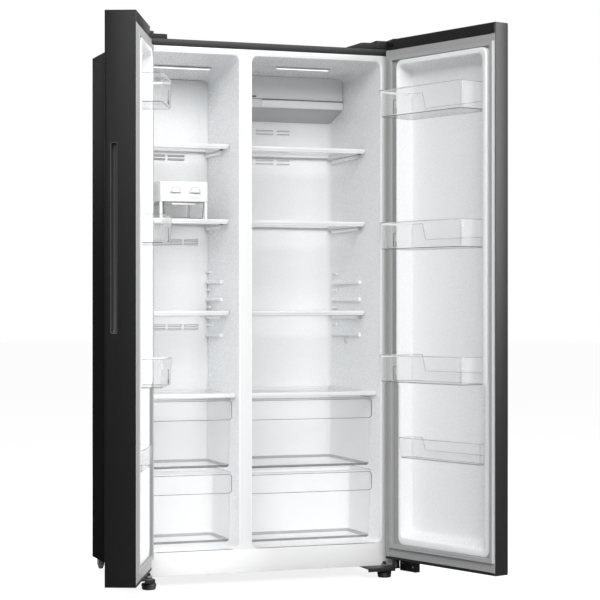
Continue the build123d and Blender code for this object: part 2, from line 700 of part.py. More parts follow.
def build():
    """All the pieces, by name."""
    freezer_rim = (SIDE + FREEZER_X[0] + 6, SIDE + FREEZER_X[1] - 12)
    fridge_rim = (SIDE - FRIDGE_X[1] + 7, SIDE - FRIDGE_X[0] - 13)
    pieces = {
        "cabinet_shell": cabinet_shell(),
        "rear_panel": rear_panel(),
        "cabinet_foam": cabinet_foam(),
        "freezer_liner": freezer_liner(),
        "fridge_liner": fridge_liner(),
        "front_frame": front_frame(),
        "base_rail": base_rail(),
        "base_tray": base_tray(),
        "machine_cover": machine_cover(),
        "freezer_air_cover": freezer_air_cover(),
        "fridge_air_duct": fridge_air_duct(),
        "ceiling_lamps": ceiling_lamps(),
        "evaporator": evaporator(),
        "evaporator_fan": evaporator_fan(),
        "fan_motor": fan_motor(),
        "compressor": compressor(),
        "condenser": condenser(),
        "power_inlet": power_inlet(),
        "top_hinges": top_hinges(),
        "hinge_covers": hinge_covers(),
        "bottom_hinges": bottom_hinges(),
        "left_foot": foot(-1),
        "right_foot": foot(1),
        "left_roller": roller(-1),
        "right_roller": roller(1),
        "freezer_drawer_cover": drawer_cover(FREEZER_X, 344.0),
        "fridge_drawer_cover": drawer_cover(FRIDGE_X, 474.0),
        "freezer_upper_drawer": drawer(FREEZER_X, 60.0, 338.0, (373.0, 599.0)),
        "freezer_lower_drawer": drawer(FREEZER_X, 60.0, 277.0, (129.0, 358.0)),
        "fridge_upper_drawer": drawer(FRIDGE_X, 66.0, 465.0, (366.0, 597.0)),
        "fridge_lower_drawer": drawer(FRIDGE_X, 66.0, 277.0, (123.0, 352.0)),
        "ice_frame": ice_frame(),
        "left_ice_tray": ice_tray(KNOB_X[0]),
        "right_ice_tray": ice_tray(KNOB_X[1]),
        "ice_bin": ice_bin(),
    }
    for number, top in enumerate(SHELF_TOPS, 1):
        pieces[f"freezer_shelf_{number}"] = shelf(FREEZER_X, FREEZER_SHELF_FRONT, 342.0, top)
        pieces[f"fridge_shelf_{number}"] = shelf(FRIDGE_X, FRIDGE_SHELF_FRONT, 472.0, top)
    doors = (
        ("freezer", -1, FREEZER_DOOR, 0.0, freezer_rim, FREEZER_REACH, FREEZER_BASKET_TOPS),
        ("fridge", 1, FRIDGE_DOOR, BEVEL, fridge_rim, FRIDGE_REACH, FRIDGE_BASKET_TOPS),
    )
    for name, side, width, bevel, rim_x, reach, tops in doors:
        grip = side < 0
        door_pieces = {
            "door_skin": door_skin(width, bevel, grip),
            "door_caps": door_caps(width, bevel),
            "door_liner": door_liner(width, rim_x),
            "door_foam": door_foam(width, bevel, rim_x, grip),
            "door_gasket": door_gasket(width),
        }
        if grip:
            door_pieces["door_grip"] = grip_channel(width)
        for number, top in enumerate(tops, 1):
            shallow = number == len(tops)
            depth = 14.0 if shallow else reach
            height = 68.0 if shallow else 88.0
            door_pieces[f"basket_{number}"] = basket(rim_x, depth, top, height)
        for piece, shape in door_pieces.items():
            pieces[f"{name}_{piece}"] = hang(shape, side)
    return pieces


os.makedirs("parts", exist_ok=True)
for node, solid in build().items():
    export_step(solid, f"parts/{node}.step")
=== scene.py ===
import json
import math
import bmesh
import bpy
from mathutils import Matrix, Vector


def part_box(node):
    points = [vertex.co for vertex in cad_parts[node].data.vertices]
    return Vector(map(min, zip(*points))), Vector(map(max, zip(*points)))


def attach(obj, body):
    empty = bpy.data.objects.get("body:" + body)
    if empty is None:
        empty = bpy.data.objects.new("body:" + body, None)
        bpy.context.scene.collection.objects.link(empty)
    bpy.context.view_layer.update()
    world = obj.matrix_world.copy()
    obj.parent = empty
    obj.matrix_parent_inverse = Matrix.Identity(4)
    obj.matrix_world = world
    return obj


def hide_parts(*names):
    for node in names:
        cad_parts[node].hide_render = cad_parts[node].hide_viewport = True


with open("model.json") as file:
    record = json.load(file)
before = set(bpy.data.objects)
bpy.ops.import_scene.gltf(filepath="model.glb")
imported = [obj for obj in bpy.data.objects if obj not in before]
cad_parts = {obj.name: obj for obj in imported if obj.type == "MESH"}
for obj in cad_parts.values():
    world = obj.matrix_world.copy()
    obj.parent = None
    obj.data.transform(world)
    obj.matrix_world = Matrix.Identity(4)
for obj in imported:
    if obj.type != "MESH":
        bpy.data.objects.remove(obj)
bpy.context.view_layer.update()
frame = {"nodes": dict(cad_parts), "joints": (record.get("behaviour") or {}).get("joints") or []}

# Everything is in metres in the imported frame: X to the right, Y to the back, Z up.

shell_low, shell_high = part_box("cabinet_shell")
SIDE = shell_high.x
FRONT = shell_low.y
BACK = shell_high.y
BASE = shell_low.z
TOP = shell_high.z

# Compartments, as the two liners leave them
LINER = 0.0015
freezer_low, freezer_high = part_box("freezer_liner")
fridge_low, fridge_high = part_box("fridge_liner")
FREEZER_X = (freezer_low.x + LINER, freezer_high.x - LINER)
FRIDGE_X = (fridge_low.x + LINER, fridge_high.x - LINER)
CAVITY_FLOOR = fridge_low.z + LINER
CEILING = fridge_high.z - LINER
CAVITY_BACK = fridge_high.y - LINER
PARTITION = (FREEZER_X[1] + FRIDGE_X[0]) / 2
CORNER = 0.022
FLARE = 0.005
STEP_BACK = FRONT + 0.285
STEP_TOP = 0.340
FREEZER_CEILING_BACK = 1.673
FRIDGE_CEILING_BACK = 1.699
SLOPE_END = FRONT + 0.347

# Ledges on the compartments' walls: two single ones over a group of evenly spaced ones
UPPER_RIBS = (1.421, 1.173)
LOWEST_RIB = 0.811
LOWER_RIBS = 4
RIB_PITCH = 0.060
RIB_THICKNESS = 0.013
RIB_DEPTH = 0.010
RIB_START = FRONT + 0.180
STOP_LIFT = 0.027

# Lower edge of the raised band across each drawer's front
FINGER_BAND_Z = {
    "freezer_upper_drawer": 0.529,
    "freezer_lower_drawer": 0.289,
    "fridge_upper_drawer": 0.526,
    "fridge_lower_drawer": 0.283,
}

# Ice maker
HOOD_BOTTOM = 1.245
KNOB_Z = 1.2775
KNOB_BORE = 0.00805

# Doors, drawn closed: x from the hinge edge, y from the inner face and negative outwards
DOOR_GAP = 0.012
DOOR_THICKNESS = 0.095
DOOR_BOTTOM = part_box("fridge_door_skin")[0].z
DOOR_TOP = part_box("fridge_door_skin")[1].z
DOOR_WIDTH = {"freezer": 0.375, "fridge": 0.522}
DOOR_BEVEL = {"freezer": 0.0, "fridge": 0.041}
CAP_HEIGHT = 0.035
BOTTOM_CAP = 0.009
RETURN = 0.019
SEAL_MARGIN = (0.027, 0.003)
SEAL_Z = (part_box("fridge_door_gasket")[0].z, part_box("fridge_door_gasket")[1].z)
RIM = {"freezer": (0.068, 0.345), "fridge": (0.064, 0.495)}
RECESS_MARGIN = (0.012, 0.024)
RECESS_Z = (0.142, 1.690)
RECESS = 0.050
TALL_RIM = 0.012
LOW_RIM = 0.002
RIM_STEP = 0.654
GRIP_Z = (0.820, 1.390)
GRIP_Y = (-0.077, -0.057)
BASKET_REACH = {"freezer": 0.075, "fridge": 0.098}

ARC_STEPS = 4
TINY = 1e-6


def new_object(name, data):
    """An object in the scene, at the origin."""
    made = bpy.data.objects.new(name, data)
    bpy.context.scene.collection.objects.link(made)
    return made


def node_middle(node):
    """The middle of a CAD node's box."""
    low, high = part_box(node)
    return (Vector(low) + Vector(high)) / 2


def span(middle, half):
    """The limits of a stretch, from its middle and half its length."""
    return (middle - half, middle + half)


def inset(limits, amount):
    """Limits drawn in at both ends by an amount."""
    return (limits[0] + amount, limits[1] - amount)


# ---------------------------------------------------------------- camera, light and floor


def place_camera():
    """A level camera to the left of the middle, at about waist height."""
    data = bpy.data.cameras.new("camera")
    data.lens = 112.2
    data.sensor_width = 36.0
    data.shift_y = 0.009
    camera = new_object("camera", data)
    camera.location = (-1.9617, -6.0598, 0.9047)
    camera.rotation_euler = (math.radians(90), 0, math.radians(-19.718))
    bpy.context.scene.camera = camera


def area_light(name, place, target, size, power):
    """A rectangular light at a place, turned towards a target."""
    data = bpy.data.lights.new(name, "AREA")
    data.shape = "RECTANGLE"
    data.size, data.size_y = size
    data.energy = power
    light = new_object(name, data)
    light.location = place
    light.rotation_euler = (Vector(target) - Vector(place)).to_track_quat("-Z", "Y").to_euler()


def light_studio():
    """Soft lights from the front, the right, above and behind, in a room that the camera sees white."""
    bpy.context.scene.view_settings.view_transform = "Standard"
    area_light("front_light", (-1.6, -7.4, 4.4), (0, 0, 0.8), (7.0, 3.2), 560)
    area_light("side_light", (3.9, -3.4, 2.2), (0.5, -0.6, 1.2), (1.0, 2.6), 210)
    area_light("top_light", (0.0, -1.2, 4.4), (0, 0, 1.0), (3.0, 2.4), 30)
    area_light("back_light", (0.5, 4.6, 2.8), (0, 0, 0.9), (3.0, 2.4), 120)
    world = bpy.data.worlds.new("studio")
    world.use_nodes = True
    nodes, links = world.node_tree.nodes, world.node_tree.links
    background = nodes["Background"]
    background.inputs["Color"].default_value = (1, 1, 1, 1)
    rays = nodes.new("ShaderNodeLightPath")
    share = nodes.new("ShaderNodeMapRange")
    share.inputs["To Min"].default_value = 0.36
    share.inputs["To Max"].default_value = 1.0
    links.new(rays.outputs["Is Camera Ray"], share.inputs["Value"])
    links.new(share.outputs["Result"], background.inputs["Strength"])
    bpy.context.scene.world = world


def lay_floor():
    """A plain pale floor that runs into the pale room."""
    material = bpy.data.materials.new("pale_floor")
    material.use_nodes = True
    nodes, links = material.node_tree.nodes, material.node_tree.links
    surface = nodes["Principled BSDF"]
    surface.inputs["Base Color"].default_value = (0.24, 0.24, 0.24, 1)
    surface.inputs["Roughness"].default_value = 0.7
    surface.inputs["Emission Color"].default_value = (1, 1, 1, 1)
    rays = nodes.new("ShaderNodeLightPath")
    glow = nodes.new("ShaderNodeMath")
    glow.operation = "MULTIPLY"
    glow.inputs[1].default_value = 0.85
    links.new(rays.outputs["Is Camera Ray"], glow.inputs[0])
    links.new(glow.outputs["Value"], surface.inputs["Emission Strength"])
    bm = bmesh.new()
    bmesh.ops.create_circle(bm, cap_ends=True, segments=96, radius=40)
    mesh = bpy.data.meshes.new("floor")
    bm.to_mesh(mesh)
    bm.free()
    mesh.materials.append(material)
    new_object("floor", mesh)


# ---------------------------------------------------------------- finishes


def new_group(name, inputs, outputs):
    """A shader node group with its named sockets, and its node for inputs and for outputs."""
    group = bpy.data.node_groups.new(name, "ShaderNodeTree")
    for label, kind, value in inputs:
        socket = group.interface.new_socket(name=label, in_out="INPUT", socket_type="NodeSocket" + kind)
        socket.default_value = value
    for label, kind in outputs:
        group.interface.new_socket(name=label, in_out="OUTPUT", socket_type="NodeSocket" + kind)
    return group, group.nodes.new("NodeGroupInput"), group.nodes.new("NodeGroupOutput")


def mixed(nodes, links, factor, low, high):
    """A node that mixes two colours by a factor, each a socket or a value."""
    mix = nodes.new("ShaderNodeMix")
    mix.data_type = "RGBA"
    for socket, value in ((mix.inputs[0], factor), (mix.inputs[6], low), (mix.inputs[7], high)):
        if isinstance(value, bpy.types.NodeSocket):
            links.new(value, socket)
        else:
            socket.default_value = value
    return mix.outputs[2]


def wire_finish(group, given, made, shade, grain, colours, height, distance):
    """Wires a shade pattern to the colour, and a grain pattern to the roughness and the bump."""
    nodes, links = group.nodes, group.links
    colour = mixed(nodes, links, shade, given.outputs[colours[0]], given.outputs[colours[1]])
    links.new(colour, made.inputs["Colour"])
    rough = nodes.new("ShaderNodeMapRange")
    links.new(grain, rough.inputs["Value"])
    links.new(given.outputs["Roughness Low"], rough.inputs["To Min"])
    links.new(given.outputs["Roughness High"], rough.inputs["To Max"])
    links.new(rough.outputs["Result"], made.inputs["Roughness"])
    bump = nodes.new("ShaderNodeBump")
    bump.inputs["Distance"].default_value = distance
    links.new(given.outputs[height], bump.inputs["Strength"])
    links.new(grain, bump.inputs["Height"])
    links.new(bump.outputs["Normal"], made.inputs["Normal"])


def make_moulded_surface():
    """Slow shade changes and a fine grain, for paint, foam and moulded plastic."""
    group, given, made = new_group(
        "moulded_surface",
        [
            ("Light Colour", "Color", (1, 1, 1, 1)),
            ("Dark Colour", "Color", (0.9, 0.9, 0.9, 1)),
            ("Patch Scale", "Float", 2.0),
            ("Grain Scale", "Float", 900.0),
            ("Roughness Low", "Float", 0.3),
            ("Roughness High", "Float", 0.4),
            ("Grain Height", "Float", 0.1),
        ],
        [("Colour", "Color"), ("Roughness", "Float"), ("Normal", "Vector")],
    )
    nodes, links = group.nodes, group.links
    place = nodes.new("ShaderNodeTexCoord")
    patches = nodes.new("ShaderNodeTexNoise")
    patches.inputs["Detail"].default_value = 3.0
    links.new(place.outputs["Object"], patches.inputs["Vector"])
    links.new(given.outputs["Patch Scale"], patches.inputs["Scale"])
    grain = nodes.new("ShaderNodeTexNoise")
    grain.inputs["Detail"].default_value = 2.0
    links.new(place.outputs["Object"], grain.inputs["Vector"])
    links.new(given.outputs["Grain Scale"], grain.inputs["Scale"])
    wire_finish(
        group, given, made, patches.outputs["Fac"], grain.outputs["Fac"],
        ("Light Colour", "Dark Colour"), "Grain Height", 0.0004,
    )
    return group


def make_brushed_grain():
    """Fine upright brush lines with a little speckle, for brushed and rolled metal."""
    group, given, made = new_group(
        "brushed_grain",
        [
            ("Light Colour", "Color", (0.1, 0.1, 0.1, 1)),
            ("Dark Colour", "Color", (0.05, 0.05, 0.05, 1)),
            ("Across", "Float", 900.0),
            ("Along", "Float", 20.0),
            ("Roughness Low", "Float", 0.3),
            ("Roughness High", "Float", 0.45),
            ("Line Height", "Float", 0.1),
        ],
        [("Colour", "Color"), ("Roughness", "Float"), ("Normal", "Vector")],
    )
    nodes, links = group.nodes, group.links
    place = nodes.new("ShaderNodeTexCoord")
    stretch = nodes.new("ShaderNodeCombineXYZ")
    links.new(given.outputs["Across"], stretch.inputs["X"])
    links.new(given.outputs["Across"], stretch.inputs["Y"])
    links.new(given.outputs["Along"], stretch.inputs["Z"])
    scaled = nodes.new("ShaderNodeVectorMath")
    scaled.operation = "MULTIPLY"
    links.new(place.outputs["Object"], scaled.inputs[0])
    links.new(stretch.outputs["Vector"], scaled.inputs[1])
    lines = nodes.new("ShaderNodeTexNoise")
    lines.inputs["Scale"].default_value = 1.0
    lines.inputs["Detail"].default_value = 4.0
    lines.inputs["Roughness"].default_value = 0.7
    links.new(scaled.outputs["Vector"], lines.inputs["Vector"])
    wire_finish(
        group, given, made, lines.outputs["Fac"], lines.outputs["Fac"],
        ("Dark Colour", "Light Colour"), "Line Height", 0.0002,
    )
    return group


MOULDED = make_moulded_surface()
BRUSHED = make_brushed_grain()


def grey(value):
    """A neutral colour."""
    return (value, value, value, 1)


def finish(name, group, values, **fixed):
    """A material whose colour, roughness and grain come from a group, with fixed values for the rest."""
    material = bpy.data.materials.new(name)
    material.use_nodes = True
    nodes, links = material.node_tree.nodes, material.node_tree.links
    surface = nodes["Principled BSDF"]
    for socket, value in fixed.items():
        surface.inputs[socket.replace("_", " ")].default_value = value
    pattern = nodes.new("ShaderNodeGroup")
    pattern.node_tree = group
    for socket, value in values.items():
        pattern.inputs[socket].default_value = value
    links.new(pattern.outputs["Colour"], surface.inputs["Base Color"])
    links.new(pattern.outputs["Roughness"], surface.inputs["Roughness"])
    links.new(pattern.outputs["Normal"], surface.inputs["Normal"])
    return material


def moulded(name, light, dark, rough, grain=900.0, height=0.08, **fixed):
    """Paint, rubber, foam or moulded plastic, between a light and a dark shade."""
    values = {
        "Light Colour": light,
        "Dark Colour": dark,
        "Grain Scale": grain,
        "Roughness Low": rough[0],
        "Roughness High": rough[1],
        "Grain Height": height,
    }
    return finish(name, MOULDED, values, **fixed)


def brushed(name, light, dark, rough, across=900.0, along=12.0, **fixed):
    """Brushed or rolled metal; across and along are how close its lines lie each way."""
    values = {
        "Light Colour": light,
        "Dark Colour": dark,
        "Across": across,
        "Along": along,
        "Roughness Low": rough[0],
        "Roughness High": rough[1],
    }
    return finish(name, BRUSHED, values, **fixed)


def see_through(name, tint, edge_tint, thin, thick, rough):
    """Clear plastic or glass: thin where it faces the eye, denser and darker where it turns away. The darker
    tint at grazing angles is partly the material's denser look and partly painted shade for the dark lines at
    clear edges.
    """
    material = moulded(name, tint, tint, rough, grain=300.0, height=0.02)
    nodes, links = material.node_tree.nodes, material.node_tree.links
    surface = nodes["Principled BSDF"]
    surface.inputs["IOR"].default_value = 1.49
    weight = nodes.new("ShaderNodeLayerWeight")
    weight.inputs["Blend"].default_value = 0.35
    pattern = nodes["Group"]
    colour = mixed(nodes, links, weight.outputs["Facing"], pattern.outputs["Colour"], edge_tint)
    links.new(colour, surface.inputs["Base Color"])
    density = nodes.new("ShaderNodeMapRange")
    density.inputs["To Min"].default_value = thin
    density.inputs["To Max"].default_value = thick
    links.new(weight.outputs["Facing"], density.inputs["Value"])
    links.new(density.outputs["Result"], surface.inputs["Alpha"])
    return material


BLACK_STEEL = brushed(
    "black_steel", grey(0.0075), grey(0.001), (0.30, 0.44), Metallic=0.05, Specular_IOR_Level=0.24
)
BAND_PAINT = moulded("band_paint", grey(0.032), grey(0.026), (0.5, 0.6), grain=1400.0, height=0.1)
SHELL_PAINT = moulded(
    "shell_paint", grey(0.020), grey(0.015), (0.60, 0.72), grain=1400.0, height=0.12, IOR=1.05
)
CAP_PLASTIC = moulded(
    "cap_plastic", grey(0.010), grey(0.007), (0.45, 0.6), grain=1500.0, height=0.25, Specular_IOR_Level=0.3
)
RETURN_PAINT = moulded("return_paint", grey(0.36), grey(0.335), (0.35, 0.42), grain=1200.0, height=0.06)
FRAME_PAINT = moulded("frame_paint", grey(0.75), grey(0.73), (0.28, 0.36), grain=1200.0, height=0.05)
LINER_WHITE = moulded(
    "liner_white", (0.89, 0.90, 0.91, 1), (0.86, 0.87, 0.88, 1), (0.22, 0.32), grain=260.0, height=0.010
)
DOOR_WHITE = moulded(
    "door_white", (0.84, 0.85, 0.86, 1), (0.81, 0.82, 0.83, 1), (0.22, 0.32), grain=260.0, height=0.010
)
MOULDED_WHITE = moulded("moulded_white", grey(0.86), grey(0.83), (0.26, 0.36), grain=700.0, height=0.06)
# A darker copy of the duct's white for its faces turned downwards: painted shade.
DUCT_PAINTED_SHADE = moulded("duct_painted_shade", grey(0.56), grey(0.52), (0.4, 0.5), grain=500.0, height=0.06)
DUCT_WHITE = moulded("duct_white", grey(0.90), grey(0.87), (0.3, 0.4), grain=500.0, height=0.06)
BLACK_PLASTIC = moulded("black_plastic", grey(0.016), grey(0.010), (0.42, 0.55), grain=1500.0, height=0.25)
ROLLER_GREY = moulded("roller_grey", grey(0.30), grey(0.24), (0.45, 0.6), grain=900.0, height=0.2)
SEAL_GREY = moulded("seal_grey", grey(0.385), grey(0.355), (0.5, 0.62), grain=800.0, height=0.15)
# Dark fill for vents, slots and the lines on the duct: painted shade and painted shadow.
SLOT_PAINTED_SHADE_DARK = moulded("slot_painted_shade_dark", grey(0.14), grey(0.10), (0.5, 0.6))
# Grey fill for the ice knob's groove: painted shade.
GROOVE_PAINTED_SHADE = moulded("groove_painted_shade", grey(0.60), grey(0.55), (0.4, 0.5))
# Grey fill for air slots and under the ice knob: painted shade.
SLOT_PAINTED_SHADE_GREY = moulded("slot_painted_shade_grey", grey(0.50), grey(0.45), (0.5, 0.6))
GRIP_METAL = brushed("grip_metal", grey(0.13), grey(0.08), (0.32, 0.45), Metallic=0.5)
ZINC = brushed("zinc_steel", grey(0.62), grey(0.42), (0.34, 0.5), across=260.0, along=60.0, Metallic=1.0)
SCREW_STEEL = brushed(
    "screw_steel", grey(0.6), grey(0.4), (0.25, 0.4), across=600.0, along=600.0, Metallic=1.0
)
ALUMINIUM = brushed(
    "fin_aluminium", grey(0.8), grey(0.62), (0.3, 0.42), across=300.0, along=30.0, Metallic=1.0
)
BLACK_ENAMEL = moulded("black_enamel", grey(0.016), grey(0.010), (0.3, 0.4), grain=600.0, height=0.1)
FOAM = moulded(
    "blown_foam", (0.78, 0.68, 0.42, 1), (0.62, 0.52, 0.30, 1), (0.8, 0.95), grain=220.0, height=0.8
)
LAMP_WHITE = moulded(
    "lamp_white", grey(0.9), grey(0.88), (0.3, 0.4), Emission_Color=(1, 1, 1, 1), Emission_Strength=1.0
)
CLEAR = see_through("clear_plastic", grey(0.80), grey(0.42), 0.035, 0.42, (0.06, 0.12))
# A dark copy of the clear plastic for rims, bases and edges: painted shade.
CLEAR_EDGE_PAINTED_SHADE = see_through("clear_edge_painted_shade", grey(0.10), grey(0.05), 0.60, 0.9, (0.08, 0.14))
# A darker copy of the clear plastic for the corners of tubs: painted shade.
CLEAR_CORNER_PAINTED_SHADE = see_through("clear_corner_painted_shade", grey(0.34), grey(0.2), 0.22, 0.6, (0.08, 0.14))
# A pale copy of the clear plastic for rims and bars: painted highlight.
CLEAR_PAINTED_HIGHLIGHT = see_through("clear_painted_highlight", grey(0.9), grey(0.6), 0.5, 0.85, (0.08, 0.14))
DRAWER_CLEAR = see_through("drawer_clear", grey(0.72), grey(0.6), 0.055, 0.30, (0.10, 0.2))
SHELF_GLASS = see_through(
    "shelf_glass", (0.90, 0.93, 0.93, 1), (0.66, 0.72, 0.71, 1), 0.12, 0.50, (0.03, 0.06)
)
SHELF_TRIM = see_through("shelf_trim", grey(0.9), grey(0.78), 0.85, 0.95, (0.2, 0.3))


# ---------------------------------------------------------------- mesh helpers


def outline(u, v, radius, u_breaks=(), v_breaks=(), steps=ARC_STEPS):
    """A rounded rectangle, anticlockwise from its lower right arc, with extra points on its sides."""
    points = []
    corners = [
        (u[1] - radius, v[0] + radius, -90, [(u[1], b) for b in v_breaks]),
        (u[1] - radius, v[1] - radius, 0, [(b, v[1]) for b in reversed(u_breaks)]),
        (u[0] + radius, v[1] - radius, 90, [(u[0], b) for b in reversed(v_breaks)]),
        (u[0] + radius, v[0] + radius, 180, [(b, v[0]) for b in u_breaks]),
    ]
    for centre_u, centre_v, start, straight in corners:
        for step in range(steps + 1):
            angle = math.radians(start + 90 * step / steps)
            points.append((centre_u + radius * math.cos(angle), centre_v + radius * math.sin(angle)))
        points += straight
    return points


def corner_spans(u_breaks, v_breaks):
    """Which spans of an outline lie in the middle of a corner's arc."""
    spans = set()
    start = 0
    for extra in (len(v_breaks), len(u_breaks), len(v_breaks), len(u_breaks)):
        spans.update((start + ARC_STEPS // 2 - 1, start + ARC_STEPS // 2))
        start += ARC_STEPS + 1 + extra
    return spans


def loft(bm, rings, closed=False, caps=(True, True), material=0):
    """Joins rings of points, each with as many points as the next."""
    rows = [[bm.verts.new(point) for point in ring] for ring in rings]
    pairs = list(zip(rows, rows[1:]))
    if closed:
        pairs.append((rows[-1], rows[0]))
    faces = []
    for near, far in pairs:
        for i in range(len(near)):
            j = (i + 1) % len(near)
            faces.append(bm.faces.new((near[i], near[j], far[j], far[i])))
    if not closed and caps[0]:
        faces.append(bm.faces.new(list(reversed(rows[0]))))
    if not closed and caps[1]:
        faces.append(bm.faces.new(rows[-1]))
    for face in faces:
        face.material_index = material
    return faces


def block(bm, x, y, z, ease=0.001, corner=None, axis="z", material=0):
    """A solid block with eased edges; corner is the larger radius of the four edges along axis."""
    corner = max(corner or ease, ease)
    u, v, w = {"x": (y, z, x), "y": (x, z, y), "z": (x, y, z)}[axis]
    order = {"x": (2, 0, 1), "y": (0, 2, 1), "z": (0, 1, 2)}[axis]
    turns = 3
    quarter = [math.radians(90 * step / turns) for step in range(turns + 1)]
    rings = []
    for end, sign, arc in ((w[0], 1, quarter), (w[1], -1, reversed(quarter))):
        for angle in arc:
            shrink = ease * (1 - math.sin(angle))
            level = end + sign * ease * (1 - math.cos(angle))
            ring = outline(inset(u, shrink), inset(v, shrink), corner - shrink + TINY, steps=3)
            rings.append([tuple((p[0], p[1], level)[i] for i in order) for p in ring])
    loft(bm, rings, material=material)


def disc(bm, centre, axis, profile, segments=32, ripple=0.0, teeth=0, closed=False):
    """A turned solid: profile is (radius, level along axis), with an optional ripple round its rim."""
    rings = []
    for radius, level in profile:
        ring = []
        for step in range(segments):
            angle = 2 * math.pi * step / segments
            reach = radius * (1 + ripple * math.cos(teeth * angle))
            u, v = reach * math.cos(angle), reach * math.sin(angle)
            local = {"x": (level, u, v), "y": (u, level, v), "z": (u, v, level)}[axis]
            ring.append(Vector(centre) + Vector(local))
        rings.append(ring)
    loft(bm, rings, closed=closed)


def shade(mesh, angle=35):
    """Smooth shading, with hard edges where faces meet at more than an angle in degrees."""
    mesh.shade_smooth()
    mesh.set_sharp_from_angle(angle=math.radians(angle))


def to_object(name, bm, materials, angle=35, recalculate=True):
    """Turns worked geometry into a finished piece's object."""
    bmesh.ops.remove_doubles(bm, verts=bm.verts, dist=1e-7)
    if recalculate:
        bmesh.ops.recalc_face_normals(bm, faces=bm.faces)
    mesh = bpy.data.meshes.new(name)
    bm.to_mesh(mesh)
    bm.free()
    for material in materials:
        mesh.materials.append(material)
    shade(mesh, angle)
    return new_object(name, mesh)


def hand_over(made, body, nodes=()):
    """Rides the piece on its body and hides the CAD nodes that it stands for."""
    if made.data.materials[0] in (CLEAR, DRAWER_CLEAR, SHELF_GLASS):
        # Clear walls one behind the other would otherwise darken what is behind them
        made.visible_shadow = False
        made.visible_diffuse = False
    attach(made, body)
    if nodes:
        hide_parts(*nodes)


def apply_modifiers(made):
    """Turns the evaluated piece into a plain mesh."""
    graph = bpy.context.evaluated_depsgraph_get()
    mesh = bpy.data.meshes.new_from_object(made.evaluated_get(graph))
    made.modifiers.clear()
    made.data = mesh
    return made


def give_wall(made, thickness):
    """Gives a thin skin its thickness, away from the side that shows."""
    wall = made.modifiers.new("wall", "SOLIDIFY")
    wall.thickness = thickness
    wall.offset = -1
    return apply_modifiers(made)


def cut(made, bm):
    """Takes a shape out of a piece."""
    cutter = to_object("cutter", bm, [])
    modifier = made.modifiers.new("cut", "BOOLEAN")
    modifier.object = cutter
    modifier.solver = "EXACT"
    apply_modifiers(made)
    bpy.data.objects.remove(cutter)


def cut_block(made, x, y, z, ease=0.0001, corner=None, axis="z"):
    """Takes a block out of a piece."""
    bm = bmesh.new()
    block(bm, x, y, z, ease, corner, axis)
    cut(made, bm)


def sharp_edges(bm, angle):
    """The edges whose two faces meet at more than an angle in degrees."""
    return [e for e in bm.edges if len(e.link_faces) == 2 and e.calc_face_angle() > math.radians(angle)]


def ease_edges(bm, edges, width, segments):
    """Rounds edges over a width."""
    bmesh.ops.bevel(
        bm, geom=edges, offset=width, offset_type="OFFSET", segments=segments, profile=0.5,
        affect="EDGES", clamp_overlap=True,
    )


def eased_copy(node, width, name, material):
    """A copy of a CAD node with its hard edges rounded."""
    bm = bmesh.new()
    bm.from_mesh(frame["nodes"][node].data)
    bmesh.ops.remove_doubles(bm, verts=bm.verts, dist=2e-5)
    bmesh.ops.dissolve_limit(bm, angle_limit=math.radians(2), verts=bm.verts, edges=bm.edges)
    ease_edges(bm, sharp_edges(bm, 28), width, 2)
    return to_object(name, bm, [material], recalculate=False)


def door_hinge(name):
    """The joint on which a door swings."""
    return next(joint for joint in frame["joints"] if joint["name"] == name + "_door_hinge")


def door_placement(name):
    """The matrix that hangs a closed door's piece on its side and swings it to its open rest pose."""
    joint = door_hinge(name)
    side = -1 if name == "freezer" else 1
    swing = -math.radians(joint["range_deg"][0]) * joint["axis"][2]
    pivot = Matrix.Translation((joint["pos_m"][0], joint["pos_m"][1], 0))
    hung = Matrix.Translation((side * SIDE, FRONT - DOOR_GAP, 0)) @ Matrix.Diagonal((-side, 1, 1, 1))
    return pivot @ Matrix.Rotation(swing, 4, "Z") @ pivot.inverted() @ hung


PLACEMENT = {name: door_placement(name) for name in ("freezer", "fridge")}


def hang(made, name):
    """Moves a piece drawn on the closed door to where the open door has it."""
    made.data.transform(PLACEMENT[name])
    if PLACEMENT[name].determinant() < 0:
        made.data.flip_normals()
    return made


# ---------------------------------------------------------------- repeated pieces, by geometry nodes


def new_tree(name, inputs):
    """A geometry node tree with its named inputs, and its node for inputs and for outputs."""
    tree = bpy.data.node_groups.new(name, "GeometryNodeTree")
    tree.interface.new_socket(name="Geometry", in_out="INPUT", socket_type="NodeSocketGeometry")
    for label, kind, value in inputs:
        socket = tree.interface.new_socket(name=label, in_out="INPUT", socket_type="NodeSocket" + kind)
        if value is not None:
            socket.default_value = value
    tree.interface.new_socket(name="Geometry", in_out="OUTPUT", socket_type="NodeSocketGeometry")
    return tree, tree.nodes.new("NodeGroupInput"), tree.nodes.new("NodeGroupOutput")


def coat_copies(tree, given, made, copies):
    """Ends a tree: makes its copies real and gives them the material."""
    nodes, links = tree.nodes, tree.links
    real = nodes.new("GeometryNodeRealizeInstances")
    links.new(copies.outputs["Instances"], real.inputs["Geometry"])
    coat = nodes.new("GeometryNodeSetMaterial")
    links.new(real.outputs["Geometry"], coat.inputs["Geometry"])
    links.new(given.outputs["Material"], coat.inputs["Material"])
    links.new(coat.outputs["Geometry"], made.inputs["Geometry"])


